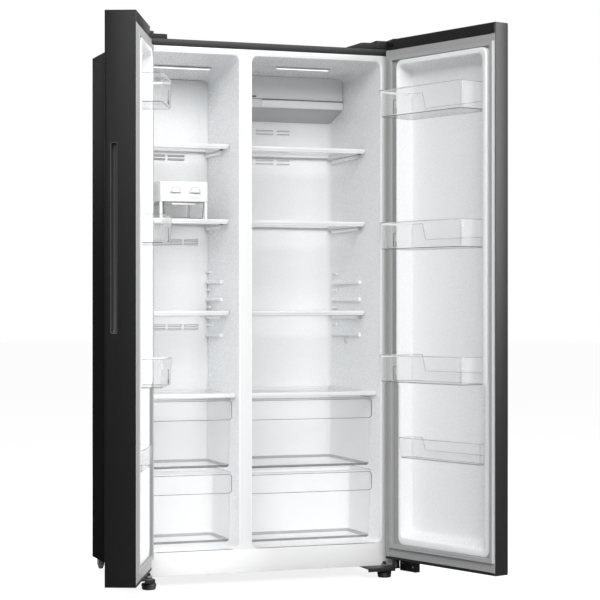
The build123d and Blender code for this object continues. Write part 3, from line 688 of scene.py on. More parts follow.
def make_bar_row():
    """Parallel bars with rounded edges: a bar from start along a run, repeated by a step."""
    tree, given, made = new_tree(
        "bar_row",
        [
            ("Start", "Vector", (0, 0, 0)),
            ("Run", "Vector", (1, 0, 0)),
            ("Step", "Vector", (0, 0, 1)),
            ("Count", "Int", 2),
            ("Thickness", "Float", 0.005),
            ("Depth", "Float", 0.010),
            ("Edge Radius", "Float", 0.001),
            ("Material", "Material", None),
        ],
    )
    nodes, links = tree.nodes, tree.links
    line = nodes.new("GeometryNodeCurvePrimitiveLine")
    links.new(given.outputs["Run"], line.inputs["End"])
    section = nodes.new("GeometryNodeCurvePrimitiveQuadrilateral")
    links.new(given.outputs["Thickness"], section.inputs["Width"])
    links.new(given.outputs["Depth"], section.inputs["Height"])
    rounded = nodes.new("GeometryNodeFilletCurve")
    rounded.mode = "POLY"
    rounded.inputs["Count"].default_value = 3
    links.new(section.outputs["Curve"], rounded.inputs["Curve"])
    links.new(given.outputs["Edge Radius"], rounded.inputs["Radius"])
    bar = nodes.new("GeometryNodeCurveToMesh")
    bar.inputs["Fill Caps"].default_value = True
    links.new(line.outputs["Curve"], bar.inputs["Curve"])
    links.new(rounded.outputs["Curve"], bar.inputs["Profile Curve"])
    places = nodes.new("GeometryNodeMeshLine")
    links.new(given.outputs["Count"], places.inputs["Count"])
    links.new(given.outputs["Start"], places.inputs["Start Location"])
    links.new(given.outputs["Step"], places.inputs["Offset"])
    row = nodes.new("GeometryNodeInstanceOnPoints")
    links.new(places.outputs["Mesh"], row.inputs["Points"])
    links.new(bar.outputs["Mesh"], row.inputs["Instance"])
    coat_copies(tree, given, made, row)
    return tree


def make_scattered():
    """A copy of one small part on each point of the given mesh."""
    tree, given, made = new_tree("scattered", [("Part", "Object", None), ("Material", "Material", None)])
    nodes, links = tree.nodes, tree.links
    part = nodes.new("GeometryNodeObjectInfo")
    links.new(given.outputs["Part"], part.inputs["Object"])
    copies = nodes.new("GeometryNodeInstanceOnPoints")
    links.new(given.outputs["Geometry"], copies.inputs["Points"])
    links.new(part.outputs["Geometry"], copies.inputs["Instance"])
    coat_copies(tree, given, made, copies)
    return tree


BAR_ROW = make_bar_row()
SCATTERED = make_scattered()


def run_tree(name, tree, values, mesh=None):
    """Runs a geometry node tree with its named inputs and returns the result as a plain mesh object."""
    made = new_object(name, mesh or bpy.data.meshes.new(name))
    modifier = made.modifiers.new(tree.name, "NODES")
    modifier.node_group = tree
    sockets = {s.name: s.identifier for s in tree.interface.items_tree if s.in_out == "INPUT"}
    for label, value in values.items():
        modifier[sockets[label]] = value
    apply_modifiers(made)
    made.data.name = name
    shade(made.data)
    return made


def bar_row(name, start, run, step, count, thickness, depth, edge, material):
    """Parallel bars as one piece."""
    return run_tree(name, BAR_ROW, {
        "Start": tuple(start), "Run": tuple(run), "Step": tuple(step), "Count": count,
        "Thickness": thickness, "Depth": depth, "Edge Radius": edge, "Material": material,
    })


def joined(name, parts):
    """One piece from several, which keeps their materials."""
    bm = bmesh.new()
    materials = []
    for part in parts:
        offset = len(materials)
        start = len(bm.faces)
        bm.from_mesh(part.data)
        bm.faces.ensure_lookup_table()
        for face in bm.faces[start:]:
            face.material_index += offset
        materials += list(part.data.materials)
        bpy.data.objects.remove(part)
    kinds = list(dict.fromkeys(materials))
    for face in bm.faces:
        face.material_index = kinds.index(materials[face.material_index])
    return to_object(name, bm, kinds, recalculate=False)


def screws(name, points, axis, material, radius=0.0042):
    """Domed screw heads with a round recess, one at each point, facing along axis."""
    bm = bmesh.new()
    profile = [
        (radius * 0.98, -0.0002), (radius, 0.0004), (radius * 0.85, 0.0014), (radius * 0.5, 0.0020),
        (radius * 0.22, 0.0021), (radius * 0.16, 0.0010), (0.0001, 0.0008),
    ]
    disc(bm, (0, 0, 0), "z", profile, segments=16)
    turn = Vector((0, 0, 1)).rotation_difference(Vector(axis)).to_matrix().to_4x4()
    bmesh.ops.transform(bm, matrix=turn, verts=bm.verts)
    head = to_object(name + "_head", bm, [material])
    places = bpy.data.meshes.new(name)
    places.from_pydata(points, [], [])
    made = run_tree(name, SCATTERED, {"Part": head, "Material": material}, places)
    bpy.data.objects.remove(head)
    return made


# ---------------------------------------------------------------- cabinet


def sleeve_ring(side_inset, top_inset, y, radius):
    """One inverted U of the cabinet's wrapper, seen from the front."""
    x = SIDE - side_inset
    z = TOP - top_inset
    points = [(-x, y, BASE)]
    for centre, start in ((-x + radius, 180), (x - radius, 90)):
        for step in range(ARC_STEPS + 1):
            angle = math.radians(start - 90 * step / ARC_STEPS)
            points.append((centre + radius * math.cos(angle), y, z - radius + radius * math.sin(angle)))
    points.append((x, y, BASE))
    return points


def cabinet_sleeve():
    """The folded steel wrapper: roof and sides with rounded bends and a narrow flange at the front."""
    bend = 0.0025
    corner = 0.004
    side_flange = 0.015
    top_flange = 0.023
    rings = [sleeve_ring(side_flange, top_flange, FRONT, 0.001)]
    for step in range(4):
        angle = math.radians(90 * step / 3)
        drawn_in = bend * (1 - math.sin(angle))
        rings.append(sleeve_ring(drawn_in, drawn_in, FRONT + bend * (1 - math.cos(angle)), corner))
    rings.append(sleeve_ring(0, 0, BACK - bend, corner))
    rings.append(sleeve_ring(0.0008, 0.0008, BACK, corner))
    bm = bmesh.new()
    rows = [[bm.verts.new(p) for p in ring] for ring in rings]
    for near, far in zip(rows, rows[1:]):
        for i in range(len(near) - 1):
            bm.faces.new((near[i], near[i + 1], far[i + 1], far[i]))
    made = to_object("cabinet_wrapper", bm, [SHELL_PAINT, BAND_PAINT], recalculate=False)
    give_wall(made, 0.001)
    for polygon in made.data.polygons:
        if polygon.normal.y < -0.7:
            polygon.material_index = 1
    hand_over(made, "cabinet", ["cabinet_shell"])


def flat_plate(name, face, holes, thickness, edge, material, level):
    """A plate in the XZ plane with holes and eased edges, made from filled outlines."""
    curve = bpy.data.curves.new(name, "CURVE")
    curve.dimensions = "2D"
    curve.fill_mode = "BOTH"
    curve.extrude = thickness / 2 - edge
    curve.bevel_depth = edge
    curve.bevel_resolution = 1
    curve.offset = -edge
    for points in [face, *holes]:
        spline = curve.splines.new("POLY")
        spline.points.add(len(points) - 1)
        for point, (u, v) in zip(spline.points, points):
            point.co = (u, v, 0, 1)
        spline.use_cyclic_u = True
    flat = new_object(name, curve)
    graph = bpy.context.evaluated_depsgraph_get()
    mesh = bpy.data.meshes.new_from_object(flat.evaluated_get(graph))
    bpy.data.objects.remove(flat)
    upright = Matrix.Rotation(math.radians(90), 4, "X")
    mesh.transform(Matrix.Translation((0, level + thickness / 2, 0)) @ upright)
    bm = bmesh.new()
    bm.from_mesh(mesh)
    bpy.data.meshes.remove(mesh)
    return to_object(name, bm, [material])


def face_frame():
    """The white steel face round both compartments."""
    edge = SIDE - 0.015
    face = outline((-edge, edge), (CAVITY_FLOOR, TOP - 0.023), 0.0015)
    holes = [
        outline(inset(x, -FLARE), (CAVITY_FLOOR + 0.0004, CEILING + FLARE), CORNER + FLARE, steps=8)
        for x in (FREEZER_X, FRIDGE_X)
    ]
    made = flat_plate("face_frame", face, holes, 0.001, 0.0003, FRAME_PAINT, FRONT)
    hand_over(made, "cabinet", ["front_frame"])


def flare_mouth(bm, middle):
    """Rolls a liner's open edge forwards and outwards, and tucks its end behind the frame."""
    turns = 4
    tuck = 0.003
    set_back = 0.0003
    lowest = CAVITY_FLOOR - 0.0014
    rim = [e for e in bm.edges if e.is_boundary]
    outward = {}
    for edge in rim:
        run = edge.verts[1].co - edge.verts[0].co
        normal = Vector((run.z, 0, -run.x)).normalized()
        if normal.dot((edge.verts[0].co + edge.verts[1].co) / 2 - middle) < 0:
            normal = -normal
        for vert in edge.verts:
            outward[vert] = outward.get(vert, Vector((0, 0, 0))) + normal
    start = {vert: (vert.co.copy(), way.normalized()) for vert, way in outward.items()}
    for turn in range(1, turns + 2):
        tucked = turn > turns
        angle = math.radians(90 * min(turn, turns) / turns)
        spread = FLARE * (1 - math.cos(angle)) + (tuck if tucked else 0)
        forward = FLARE * math.sin(angle) - (set_back if tucked else 0)
        drawn = bmesh.ops.extrude_edge_only(bm, edges=rim)["geom"]
        rim = [part for part in drawn if isinstance(part, bmesh.types.BMEdge) and part.is_boundary]
        fresh = {}
        for vert in {v for e in rim for v in e.verts}:
            source = next(e.other_vert(vert) for e in vert.link_edges if e.other_vert(vert) in start)
            origin, way = start[source]
            vert.co = origin + way * spread - Vector((0, forward, 0))
            vert.co.z = max(vert.co.z, lowest)
            fresh[vert] = (origin, way)
        start = fresh


def liner_shape(name, x, ceiling_back):
    """The formed inside of one compartment: rounded everywhere, with a soft flared mouth."""
    mouth = FRONT + 0.001 + FLARE
    side_view = [
        (mouth, CAVITY_FLOOR),
        (STEP_BACK, CAVITY_FLOOR),
        (STEP_BACK, STEP_TOP),
        (CAVITY_BACK, STEP_TOP),
        (CAVITY_BACK, ceiling_back),
        (SLOPE_END, ceiling_back),
        (mouth, CEILING),
    ]
    bm = bmesh.new()
    left = [bm.verts.new((x[0], y, z)) for y, z in side_view]
    right = [bm.verts.new((x[1], y, z)) for y, z in side_view]
    bm.faces.new(left)
    bm.faces.new(list(reversed(right)))
    count = len(side_view)
    for i in range(count):
        j = (i + 1) % count
        bm.faces.new((left[j], left[i], right[i], right[j]))
    bmesh.ops.recalc_face_normals(bm, faces=bm.faces)
    front_faces = [f for f in bm.faces if all(abs(v.co.y - mouth) < TINY for v in f.verts)]
    bmesh.ops.delete(bm, geom=front_faces, context="FACES_ONLY")

    def is_step_edge(edge):
        return all(abs(v.co.y - STEP_BACK) < TINY and abs(v.co.z - STEP_TOP) < TINY for v in edge.verts)

    edges = [e for e in bm.edges if len(e.link_faces) == 2 and not is_step_edge(e)]
    ease_edges(bm, edges, CORNER * 0.9, 6)
    ease_edges(bm, sharp_edges(bm, 60), 0.004, 3)
    bmesh.ops.reverse_faces(bm, faces=bm.faces)
    flare_mouth(bm, Vector(((x[0] + x[1]) / 2, mouth, (CAVITY_FLOOR + CEILING) / 2)))
    return give_wall(to_object(name, bm, [LINER_WHITE], recalculate=False), 0.0013)


def wall_ribs(name, x, rib_end):
    """The ledges for the shelves on both walls, with a short stop over the back of each lower one."""
    length = rib_end - RIB_START
    parts = []
    for side, wall in ((1, x[0]), (-1, x[1])):
        middle = wall + side * RIB_DEPTH / 2
        for height in UPPER_RIBS:
            parts.append(bar_row(
                name + "_upper", (middle, RIB_START, height - RIB_THICKNESS / 2),
                (0, length, 0), (0, 0, RIB_PITCH), 1, RIB_DEPTH, RIB_THICKNESS, 0.002, LINER_WHITE,
            ))
        parts.append(bar_row(
            name + "_lower", (middle, RIB_START, LOWEST_RIB - RIB_THICKNESS / 2),
            (0, length, 0), (0, 0, RIB_PITCH), LOWER_RIBS, RIB_DEPTH, RIB_THICKNESS, 0.003, LINER_WHITE,
        ))
        parts.append(bar_row(
            name + "_stops", (wall + side * 0.004, rib_end - 0.040, LOWEST_RIB + STOP_LIFT),
            (0, 0.036, 0), (0, 0, RIB_PITCH), LOWER_RIBS, 0.008, 0.008, 0.0025, LINER_WHITE,
        ))
    return parts


def temperature_sensor():
    """The round vented cap on the fridge compartment's right wall."""
    wall = FRIDGE_X[1]
    y = FRONT + 0.321
    z = 0.783
    bm = bmesh.new()
    profile = [(0.0125, 0.0), (0.0125, -0.0012), (0.011, -0.002), (0.0105, -0.0045), (0.009, -0.0050)]
    disc(bm, (wall, y, z), "x", profile, segments=28)
    # Each vent is a thin dark block on the cap: painted shade for its opening.
    for vent in (-0.004, 0.0, 0.004):
        depth = (wall - 0.0054, wall - 0.0049)
        block(bm, depth, span(y, 0.006), span(z + vent, 0.0006), 0.0002, axis="x", material=1)
    return to_object("sensor", bm, [MOULDED_WHITE, SLOT_PAINTED_SHADE_DARK])


def compartment(name, x, ceiling_back, rib_end, fittings=()):
    """One formed compartment with its ledges and fittings."""
    parts = [liner_shape(name + "_inner", x, ceiling_back)]
    parts += wall_ribs(name + "_ribs", x, rib_end)
    parts += fittings
    hand_over(joined(name + "_compartment", parts), "cabinet", [name + "_liner"])


def slot_pair(bm, x, y, z, width, material=1):
    """Two long air slots one over the other, each a bezel round a thin block in the given material; the grey
    one is painted shade for the slot's opening.
    """
    bezel = 0.003
    for lift in (-0.006, 0.006):
        level = z + lift
        block(bm, (x, x + width), (y - 0.0012, y + 0.0004), span(level, 0.0042), 0.0005, 0.004, "y")
        block(
            bm, inset((x, x + width), bezel), (y - 0.0016, y - 0.0010), span(level, 0.0022),
            0.0002, 0.002, "y", material,
        )


def back_air_slots():
    """The air outlets in the back wall of the fridge compartment, in two rows of two."""
    bm = bmesh.new()
    for z in (1.516, 1.411):
        for left, width in ((0.166, 0.073), (0.246, 0.053)):
            slot_pair(bm, FRIDGE_X[0] + left, CAVITY_BACK - 0.0002, z, width)
    hand_over(to_object("fridge_air_outlets", bm, [LINER_WHITE, SLOT_PAINTED_SHADE_GREY]), "cabinet")


def freezer_panel():
    """The moulded cover in front of the freezer's coil, with a raised centre channel and air slots."""
    low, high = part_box("freezer_air_cover")
    middle = (low.x + high.x) / 2
    face = low.y + 0.0014
    channel_x = inset((low.x, high.x), 0.030)
    channel_z = (low.z + 0.24, high.z - 0.012)
    bm = bmesh.new()
    block(bm, (low.x, high.x), (low.y + 0.0012, high.y), (low.z, high.z), 0.001, 0.004, "y")
    block(bm, channel_x, (low.y + 0.0002, low.y + 0.0022), channel_z, 0.0008, 0.012, "y")
    for z in (1.120, 0.830):
        for column in (-1.5, -0.5, 0.5, 1.5):
            slot_pair(bm, middle + column * 0.058 - 0.025, face, z, 0.050, 2)
    for left in (-0.0665, 0.0025):
        slot_pair(bm, middle + left, face, 1.407, 0.062)
    made = to_object("freezer_coil_cover", bm, [LINER_WHITE, SLOT_PAINTED_SHADE_GREY, MOULDED_WHITE])
    hand_over(made, "cabinet", ["freezer_air_cover"])


def fridge_duct():
    """The air housing at the top of the fridge compartment: leaning soffit, raised band and slots."""
    low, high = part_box("fridge_air_duct")
    front = FRONT + 0.352
    lip = 1.590
    band_left = low.x + 0.145
    bm = bmesh.new()
    depth_outline = [
        (front + 0.004, lip), (front, lip + 0.004), (front, high.z), (high.y, high.z), (high.y, low.z),
    ]
    loft(bm, [[(x, y, z) for y, z in depth_outline] for x in (low.x, high.x)])
    block(bm, (band_left, high.x), (low.y, front + 0.002), (lip + 0.0005, 1.617), 0.0022, 0.003, "x")
    # A thin dark strip under the band: a painted shadow.
    shadow_x = (band_left + 0.004, high.x - 0.0005)
    block(bm, shadow_x, (low.y, front), (1.6185, 1.6200), 0.0004, axis="x", material=1)
    # Each slot is a bezel round a thin dark block: painted shade for its opening.
    for column in range(3):
        left = low.x + 0.019 + column * 0.040
        x = (left, left + 0.032)
        block(bm, x, (front - 0.0014, front + 0.001), (1.6225, 1.6325), 0.0006, 0.003, "y")
        block(bm, inset(x, 0.002), (front - 0.0018, front - 0.001), (1.6250, 1.6300), 0.0002, 0.002, "y", 1)
    # A thin dark line across the front: a painted shadow line.
    shadow_line_x = (low.x + 0.001, band_left + 0.16)
    block(bm, shadow_line_x, span(front, 0.001), (1.6195, 1.6210), 0.0004, axis="x", material=1)
    made = to_object("fridge_air_housing", bm, [DUCT_WHITE, SLOT_PAINTED_SHADE_DARK, DUCT_PAINTED_SHADE])
    # Faces turned downwards take the darker copy: painted shade on the soffit.
    for polygon in made.data.polygons:
        if polygon.normal.z < -0.25 and polygon.area > 0.01:
            polygon.material_index = 2
    hand_over(made, "cabinet", ["fridge_air_duct"])


def ceiling_lights():
    """A lit bar in a shallow housing on each compartment's ceiling."""
    bm = bmesh.new()
    data = frame["nodes"]["ceiling_lamps"].data
    low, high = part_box("ceiling_lamps")
    for left, right in ((-SIDE, PARTITION), (PARTITION, SIDE)):
        own = [v.co for v in data.vertices if left < v.co.x < right]
        x = (min(v.x for v in own), max(v.x for v in own))
        z = (min(v.z for v in own), max(v.z for v in own))
        block(bm, x, (low.y, high.y), (z[0] + 0.002, z[1]), 0.001, 0.006, "z", 1)
        block(bm, inset(x, 0.004), inset((low.y, high.y), 0.003), (z[0], z[0] + 0.003), 0.0014, 0.005, "z")
    made = to_object("ceiling_light_bars", bm, [LAMP_WHITE, MOULDED_WHITE])
    hand_over(made, "cabinet", ["ceiling_lamps"])


def kick_rail():
    """The white rail under the compartments."""
    low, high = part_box("base_rail")
    bm = bmesh.new()
    block(bm, (low.x, high.x), (low.y, high.y), (low.z, high.z), 0.0006, axis="x")
    made = to_object("kick_rail", bm, [MOULDED_WHITE])
    hand_over(made, "cabinet", ["base_rail"])


def roof_hinge_cover(bm, side, pivot):
    """A stepped cover: a low foot, a raised box and an arm over the pin; the right one ramps down."""

    def across(start, end):
        return tuple(sorted((side * (SIDE - start), side * (SIDE - end))))

    foot, box = (0.0155, 0.0235) if side < 0 else (0.0205, 0.0285)
    block(bm, across(0.0, 0.118), (FRONT + 0.006, FRONT + 0.098), (TOP, TOP + foot), 0.0018, 0.006)
    block(bm, across(0.001, 0.073), (FRONT + 0.0045, FRONT + 0.094), (TOP + 0.001, TOP + box), 0.0022, 0.008)
    arm_y = (pivot.y - 0.0125, FRONT + 0.032)
    block(bm, span(pivot.x, 0.0145), arm_y, (TOP + 0.0056, TOP + 0.0298), 0.0022, 0.010)
    if side < 0:
        return
    ramp = (
        (0.112, 0.0200, 0.0062), (0.124, 0.0195, 0.0064), (0.150, 0.0110, 0.0105), (0.174, 0.0030, 0.0135),
        (0.176, 0.0016, 0.0140),
    )
    rings = []
    for inward, height, front in ramp:
        ring = outline((FRONT + front, FRONT + 0.098), (TOP, TOP + height), min(0.0014, height * 0.45))
        rings.append([(side * (SIDE - inward), y, z) for y, z in ring])
    loft(bm, rings)


def roof_hinges():
    """The covers over the top hinges, their screws, and the plates below them."""
    bm = bmesh.new()
    points = []
    for side, door in ((-1, "freezer"), (1, "fridge")):
        roof_hinge_cover(bm, side, Vector(door_hinge(door)["pos_m"]))
        lift = 0.005 if side > 0 else 0.0
        points.append((side * (SIDE - 0.040), FRONT + 0.070, TOP + 0.0225 + lift))
        points.append((side * (SIDE - 0.100), FRONT + 0.052, TOP + 0.0145 + lift))
    made = to_object("roof_hinge_covers", bm, [CAP_PLASTIC])
    hand_over(made, "cabinet", ["hinge_covers"])
    heads = screws("hinge_cover_screws", points, (0, 0, 1), BLACK_ENAMEL, 0.0038)
    hand_over(heads, "cabinet")
    plates = eased_copy("top_hinges", 0.0006, "roof_hinge_plates", BLACK_ENAMEL)
    hand_over(plates, "cabinet", ["top_hinges"])


def lower_hinges():
    """The lower hinge plates, the left one cut short, and the lock nuts over the feet."""
    made = eased_copy("bottom_hinges", 0.0009, "lower_hinge_plates", BLACK_ENAMEL)
    short_x = (-SIDE + 0.060, -SIDE + 0.200)
    cut_block(made, short_x, (FRONT - 0.100, FRONT + 0.150), (BASE - 0.030, BASE + 0.010))
    hand_over(made, "cabinet", ["bottom_hinges"])
    foot = node_middle("right_foot")
    nut = [(0.0105, 0.0002), (0.0115, 0.001), (0.0115, 0.0060), (0.0105, 0.0068)]
    bm = bmesh.new()
    for side in (-1, 1):
        disc(bm, (side * foot.x, foot.y, BASE), "z", nut, segments=6)
    nuts = to_object("foot_lock_nuts", bm, [SCREW_STEEL], angle=20)
    hand_over(nuts, "cabinet")


def levelling_foot(name):
    """A knurled disc on a threaded stem."""
    low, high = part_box(name)
    middle = node_middle(name)
    centre = (middle.x, middle.y, 0)
    radius = (high.x - low.x) / 2 - 0.0007
    disc_top = 0.020
    bm = bmesh.new()
    rim = [
        (radius - 0.004, 0.0), (radius - 0.001, 0.003), (radius - 0.001, 0.0065), (radius - 0.002, 0.0075),
        (radius - 0.002, 0.0090), (radius, 0.0100), (radius, 0.0180), (radius - 0.002, disc_top),
    ]
    disc(bm, centre, "z", rim, segments=96, ripple=0.012, teeth=24)
    stem = 0.0058
    thread = [(0.009, disc_top - 0.001), (0.009, disc_top + 0.003), (stem, disc_top + 0.0035)]
    pitch = 0.0015
    turns = int((high.z - disc_top - 0.005) / pitch)
    for turn in range(turns):
        base = disc_top + 0.004 + turn * pitch
        thread += [(stem, base), (stem - 0.0007, base + pitch / 2)]
    thread += [(stem - 0.001, high.z)]
    disc(bm, centre, "z", thread, segments=20)
    hand_over(to_object(name + "_knob", bm, [BLACK_PLASTIC], angle=50), name, [name])


def rear_roller(name):
    """A wheel with a raised hub, a raised rim and a bore for its axle."""
    low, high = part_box(name)
    middle = node_middle(name)
    radius = (high.z - low.z) / 2
    bore = 0.00405
    side = [
        (bore, 0.0), (0.009, 0.0), (0.010, 0.002), (radius - 0.004, 0.002), (radius - 0.002, 0.0),
        (radius, 0.002),
    ]
    profile = [(reach, low.x + depth) for reach, depth in side]
    profile += [(reach, high.x - depth) for reach, depth in reversed(side)]
    bm = bmesh.new()
    disc(bm, (0, middle.y, middle.z), "x", profile, closed=True)
    hand_over(to_object(name + "_wheel", bm, [ROLLER_GREY]), name, [name])


def rear_side():
    """The back: a pressed zinc panel, its screws, the louvred machine cover and the mains inlet."""
    low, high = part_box("rear_panel")
    cover_low, cover_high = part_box("machine_cover")
    bm = bmesh.new()
    block(bm, (low.x, high.x), (low.y, high.y - 0.0001), (low.z, high.z), 0.0003, 0.002, "y")
    panel = to_object("back_panel", bm, [ZINC])
    count = 6
    swage_x = inset((low.x, high.x), 0.11)
    swage_z = inset((low.z, high.z), 0.10)
    swages = bar_row(
        "back_swages", (swage_x[0], high.y - 0.0010, swage_z[0]), (0, 0, swage_z[1] - swage_z[0]),
        ((swage_x[1] - swage_x[0]) / (count - 1), 0, 0), count, 0.012, 0.002, 0.0008, ZINC,
    )
    hand_over(joined("back_panel_pressed", [panel, swages]), "cabinet", ["rear_panel"])
    cover = eased_copy("machine_cover", 0.0004, "louvred_cover", ZINC)
    hand_over(cover, "cabinet", ["machine_cover"])
    spots = [(x, low.z + 0.012) for x in (-0.42, -0.21, 0.0, 0.21, 0.42)]
    spots += [(x, high.z - 0.012) for x in (-0.42, -0.14, 0.14, 0.42)]
    spots += [(x, z) for x in (-0.43, 0.43) for z in (0.7, 1.05, 1.4)]
    spots += [(x, z) for x in (-0.435, 0.435, 0.0) for z in inset((cover_low.z, cover_high.z), 0.015)]
    points = [(x, BACK - 0.0022, z) for x, z in spots]
    hand_over(screws("back_screws", points, (0, 1, 0), SCREW_STEEL), "cabinet")
    gland = eased_copy("power_inlet", 0.0008, "mains_gland", BLACK_PLASTIC)
    hand_over(gland, "cabinet", ["power_inlet"])


# ---------------------------------------------------------------- shelves, drawers, baskets, ice maker


def tub(
    bm, x, y, z, wall, corner, floor_round, draft,
    rim=None, breaks=((), ()), painted_shade_rows=(1, 2), painted_corner_material=None,
):
    """A thin walled open tub that leans outwards by its draft. rim gives the height at a point."""
    rim = rim or (lambda u, v: z[1])
    x_breaks, y_breaks = breaks
    height = z[1] - z[0]
    lip = 0.0012

    def ring(shrink, share, lift=0.0):
        amount = shrink + draft * (1 - share)
        radius = max(corner - shrink, 0.0005)
        around = outline(inset(x, amount), inset(y, amount), radius, x_breaks, y_breaks)
        return [(u, v, z[0] + (rim(u, v) - z[0]) * share + lift) for u, v in around]

    steps = 4
    quarter = [math.radians(90 * step / steps) for step in range(steps + 1)]
    outer = [
        ring(floor_round * (1 - math.sin(angle)), floor_round * (1 - math.cos(angle)) / height)
        for angle in quarter
    ]
    edge = [ring(0, 1.0, -lip), ring(wall * 0.25, 1.0), ring(wall * 0.75, 1.0), ring(wall, 1.0, -lip)]
    inner_round = max(floor_round - wall, 0.001)
    inner = []
    for angle in reversed(quarter):
        level = wall + inner_round * (1 - math.cos(angle))
        inner.append(ring(wall + inner_round * (1 - math.sin(angle)), level / height))
    faces = loft(bm, outer + edge + inner)
    per_ring = len(outer[0])
    corners = corner_spans(x_breaks, y_breaks)
    # Material 1 on the base rows and the rolled rim is painted shade: dark lines along the clear edges.
    for index, face in enumerate(faces[:-2]):
        row, place = divmod(index, per_ring)
        if row in painted_shade_rows or len(outer) - 1 < row < len(outer) + len(edge) - 1:
            face.material_index = 1
        # The middle of each corner's wall can take a darker clear: painted shade.
        elif painted_corner_material and row == steps and place in corners:
            face.material_index = painted_corner_material


def glass_pane(name, body, x, y, top):
    """The glass set into a shelf's frame."""
    bm = bmesh.new()
    block(bm, x, y, (top - 0.006, top - 0.002), 0.0006, 0.003, "z")
    hand_over(to_object(name + "_pane", bm, [SHELF_GLASS]), body)


def glass_shelf(name):
    """A glass pane with a rounded front trim, side runners and a back rail."""
    low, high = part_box(name)
    x = (low.x, high.x)
    bm = bmesh.new()
    block(bm, x, (low.y, low.y + 0.016), (high.z - 0.011, high.z), 0.0022, axis="x")
    block(bm, inset(x, 0.004), (low.y + 0.0015, low.y + 0.006), (low.z, high.z - 0.009), 0.0012, axis="x")
    block(bm, x, (high.y - 0.016, high.y), (high.z - 0.009, high.z), 0.0015, axis="x")
    underside = (
        (low.y + 0.010, high.z - 0.008), (RIB_START - 0.022, high.z - 0.009), (RIB_START + 0.006, low.z),
        (high.y - 0.012, low.z), (high.y - 0.010, low.z + 0.002),
    )
    for runner in ((low.x, low.x + 0.014), (high.x - 0.014, high.x)):
        rings = []
        for y, bottom in underside:
            rings.append([(u, y, v) for u, v in outline(runner, (bottom, high.z), 0.0014)])
        loft(bm, rings)
    hand_over(to_object(name + "_trim", bm, [SHELF_TRIM]), name, [name])
    glass_pane(name, name, inset(x, 0.012), (low.y + 0.010, high.y - 0.014), high.z)


def drawer_roof(name):
    """The glass roof over the drawers with its deeper front band."""
    low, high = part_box(name)
    x = (low.x, high.x)
    z = (high.z - 0.014, high.z)
    bm = bmesh.new()
    block(bm, x, (low.y, low.y + 0.022), z, 0.0025, axis="x")
    block(bm, x, (high.y - 0.016, high.y), z, 0.0015, axis="x")
    for side in ((low.x, low.x + 0.016), (high.x - 0.016, high.x)):
        block(bm, side, (low.y + 0.018, high.y - 0.012), z, 0.0015, axis="y")
    hand_over(to_object(name + "_frame", bm, [SHELF_TRIM]), "cabinet", [name])
    glass_pane(name, "cabinet", inset(x, 0.014), (low.y + 0.018, high.y - 0.014), high.z)


def rounded_frame(bm, x, y, z, width, radius, material):
    """A thin raised line round a rounded rectangle on a front face."""
    rings = []
    for drawn_in, level in ((0, y[1]), (0, y[0]), (width, y[0]), (width, y[1])):
        around = outline(inset(x, drawn_in), inset(z, drawn_in), radius - drawn_in)
        rings.append([(u, level, v) for u, v in around])
    loft(bm, rings, closed=True, material=material)


def clear_drawer(name, band_bottom):
    """A clear drawer: leaning tub, rolled rim and a raised finger band across its front."""
    low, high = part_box(name)
    x = (low.x, high.x)
    z = (low.z, high.z)
    bm = bmesh.new()
    tub(bm, x, (low.y + 0.004, high.y), z, 0.0025, 0.010, 0.009, 0.006, painted_shade_rows=(0, 1, 2, 3))
    rim_z = (high.z - 0.004, high.z - 0.0004)
    # The rim block takes the pale clear: a painted highlight along the rolled rim.
    block(bm, inset(x, 0.003), (low.y + 0.0006, low.y + 0.020), rim_z, 0.0015, axis="x", material=2)
    band_z = (band_bottom, high.z - 0.0060)
    # The band's outline takes the dark clear: painted shade along its edges.
    rounded_frame(bm, inset(x, 0.0012), (low.y, low.y + 0.003), band_z, 0.0016, 0.011, 1)
    made = to_object(name + "_tub", bm, [DRAWER_CLEAR, CLEAR_EDGE_PAINTED_SHADE, CLEAR_PAINTED_HIGHLIGHT])
    hand_over(made, name, [name])


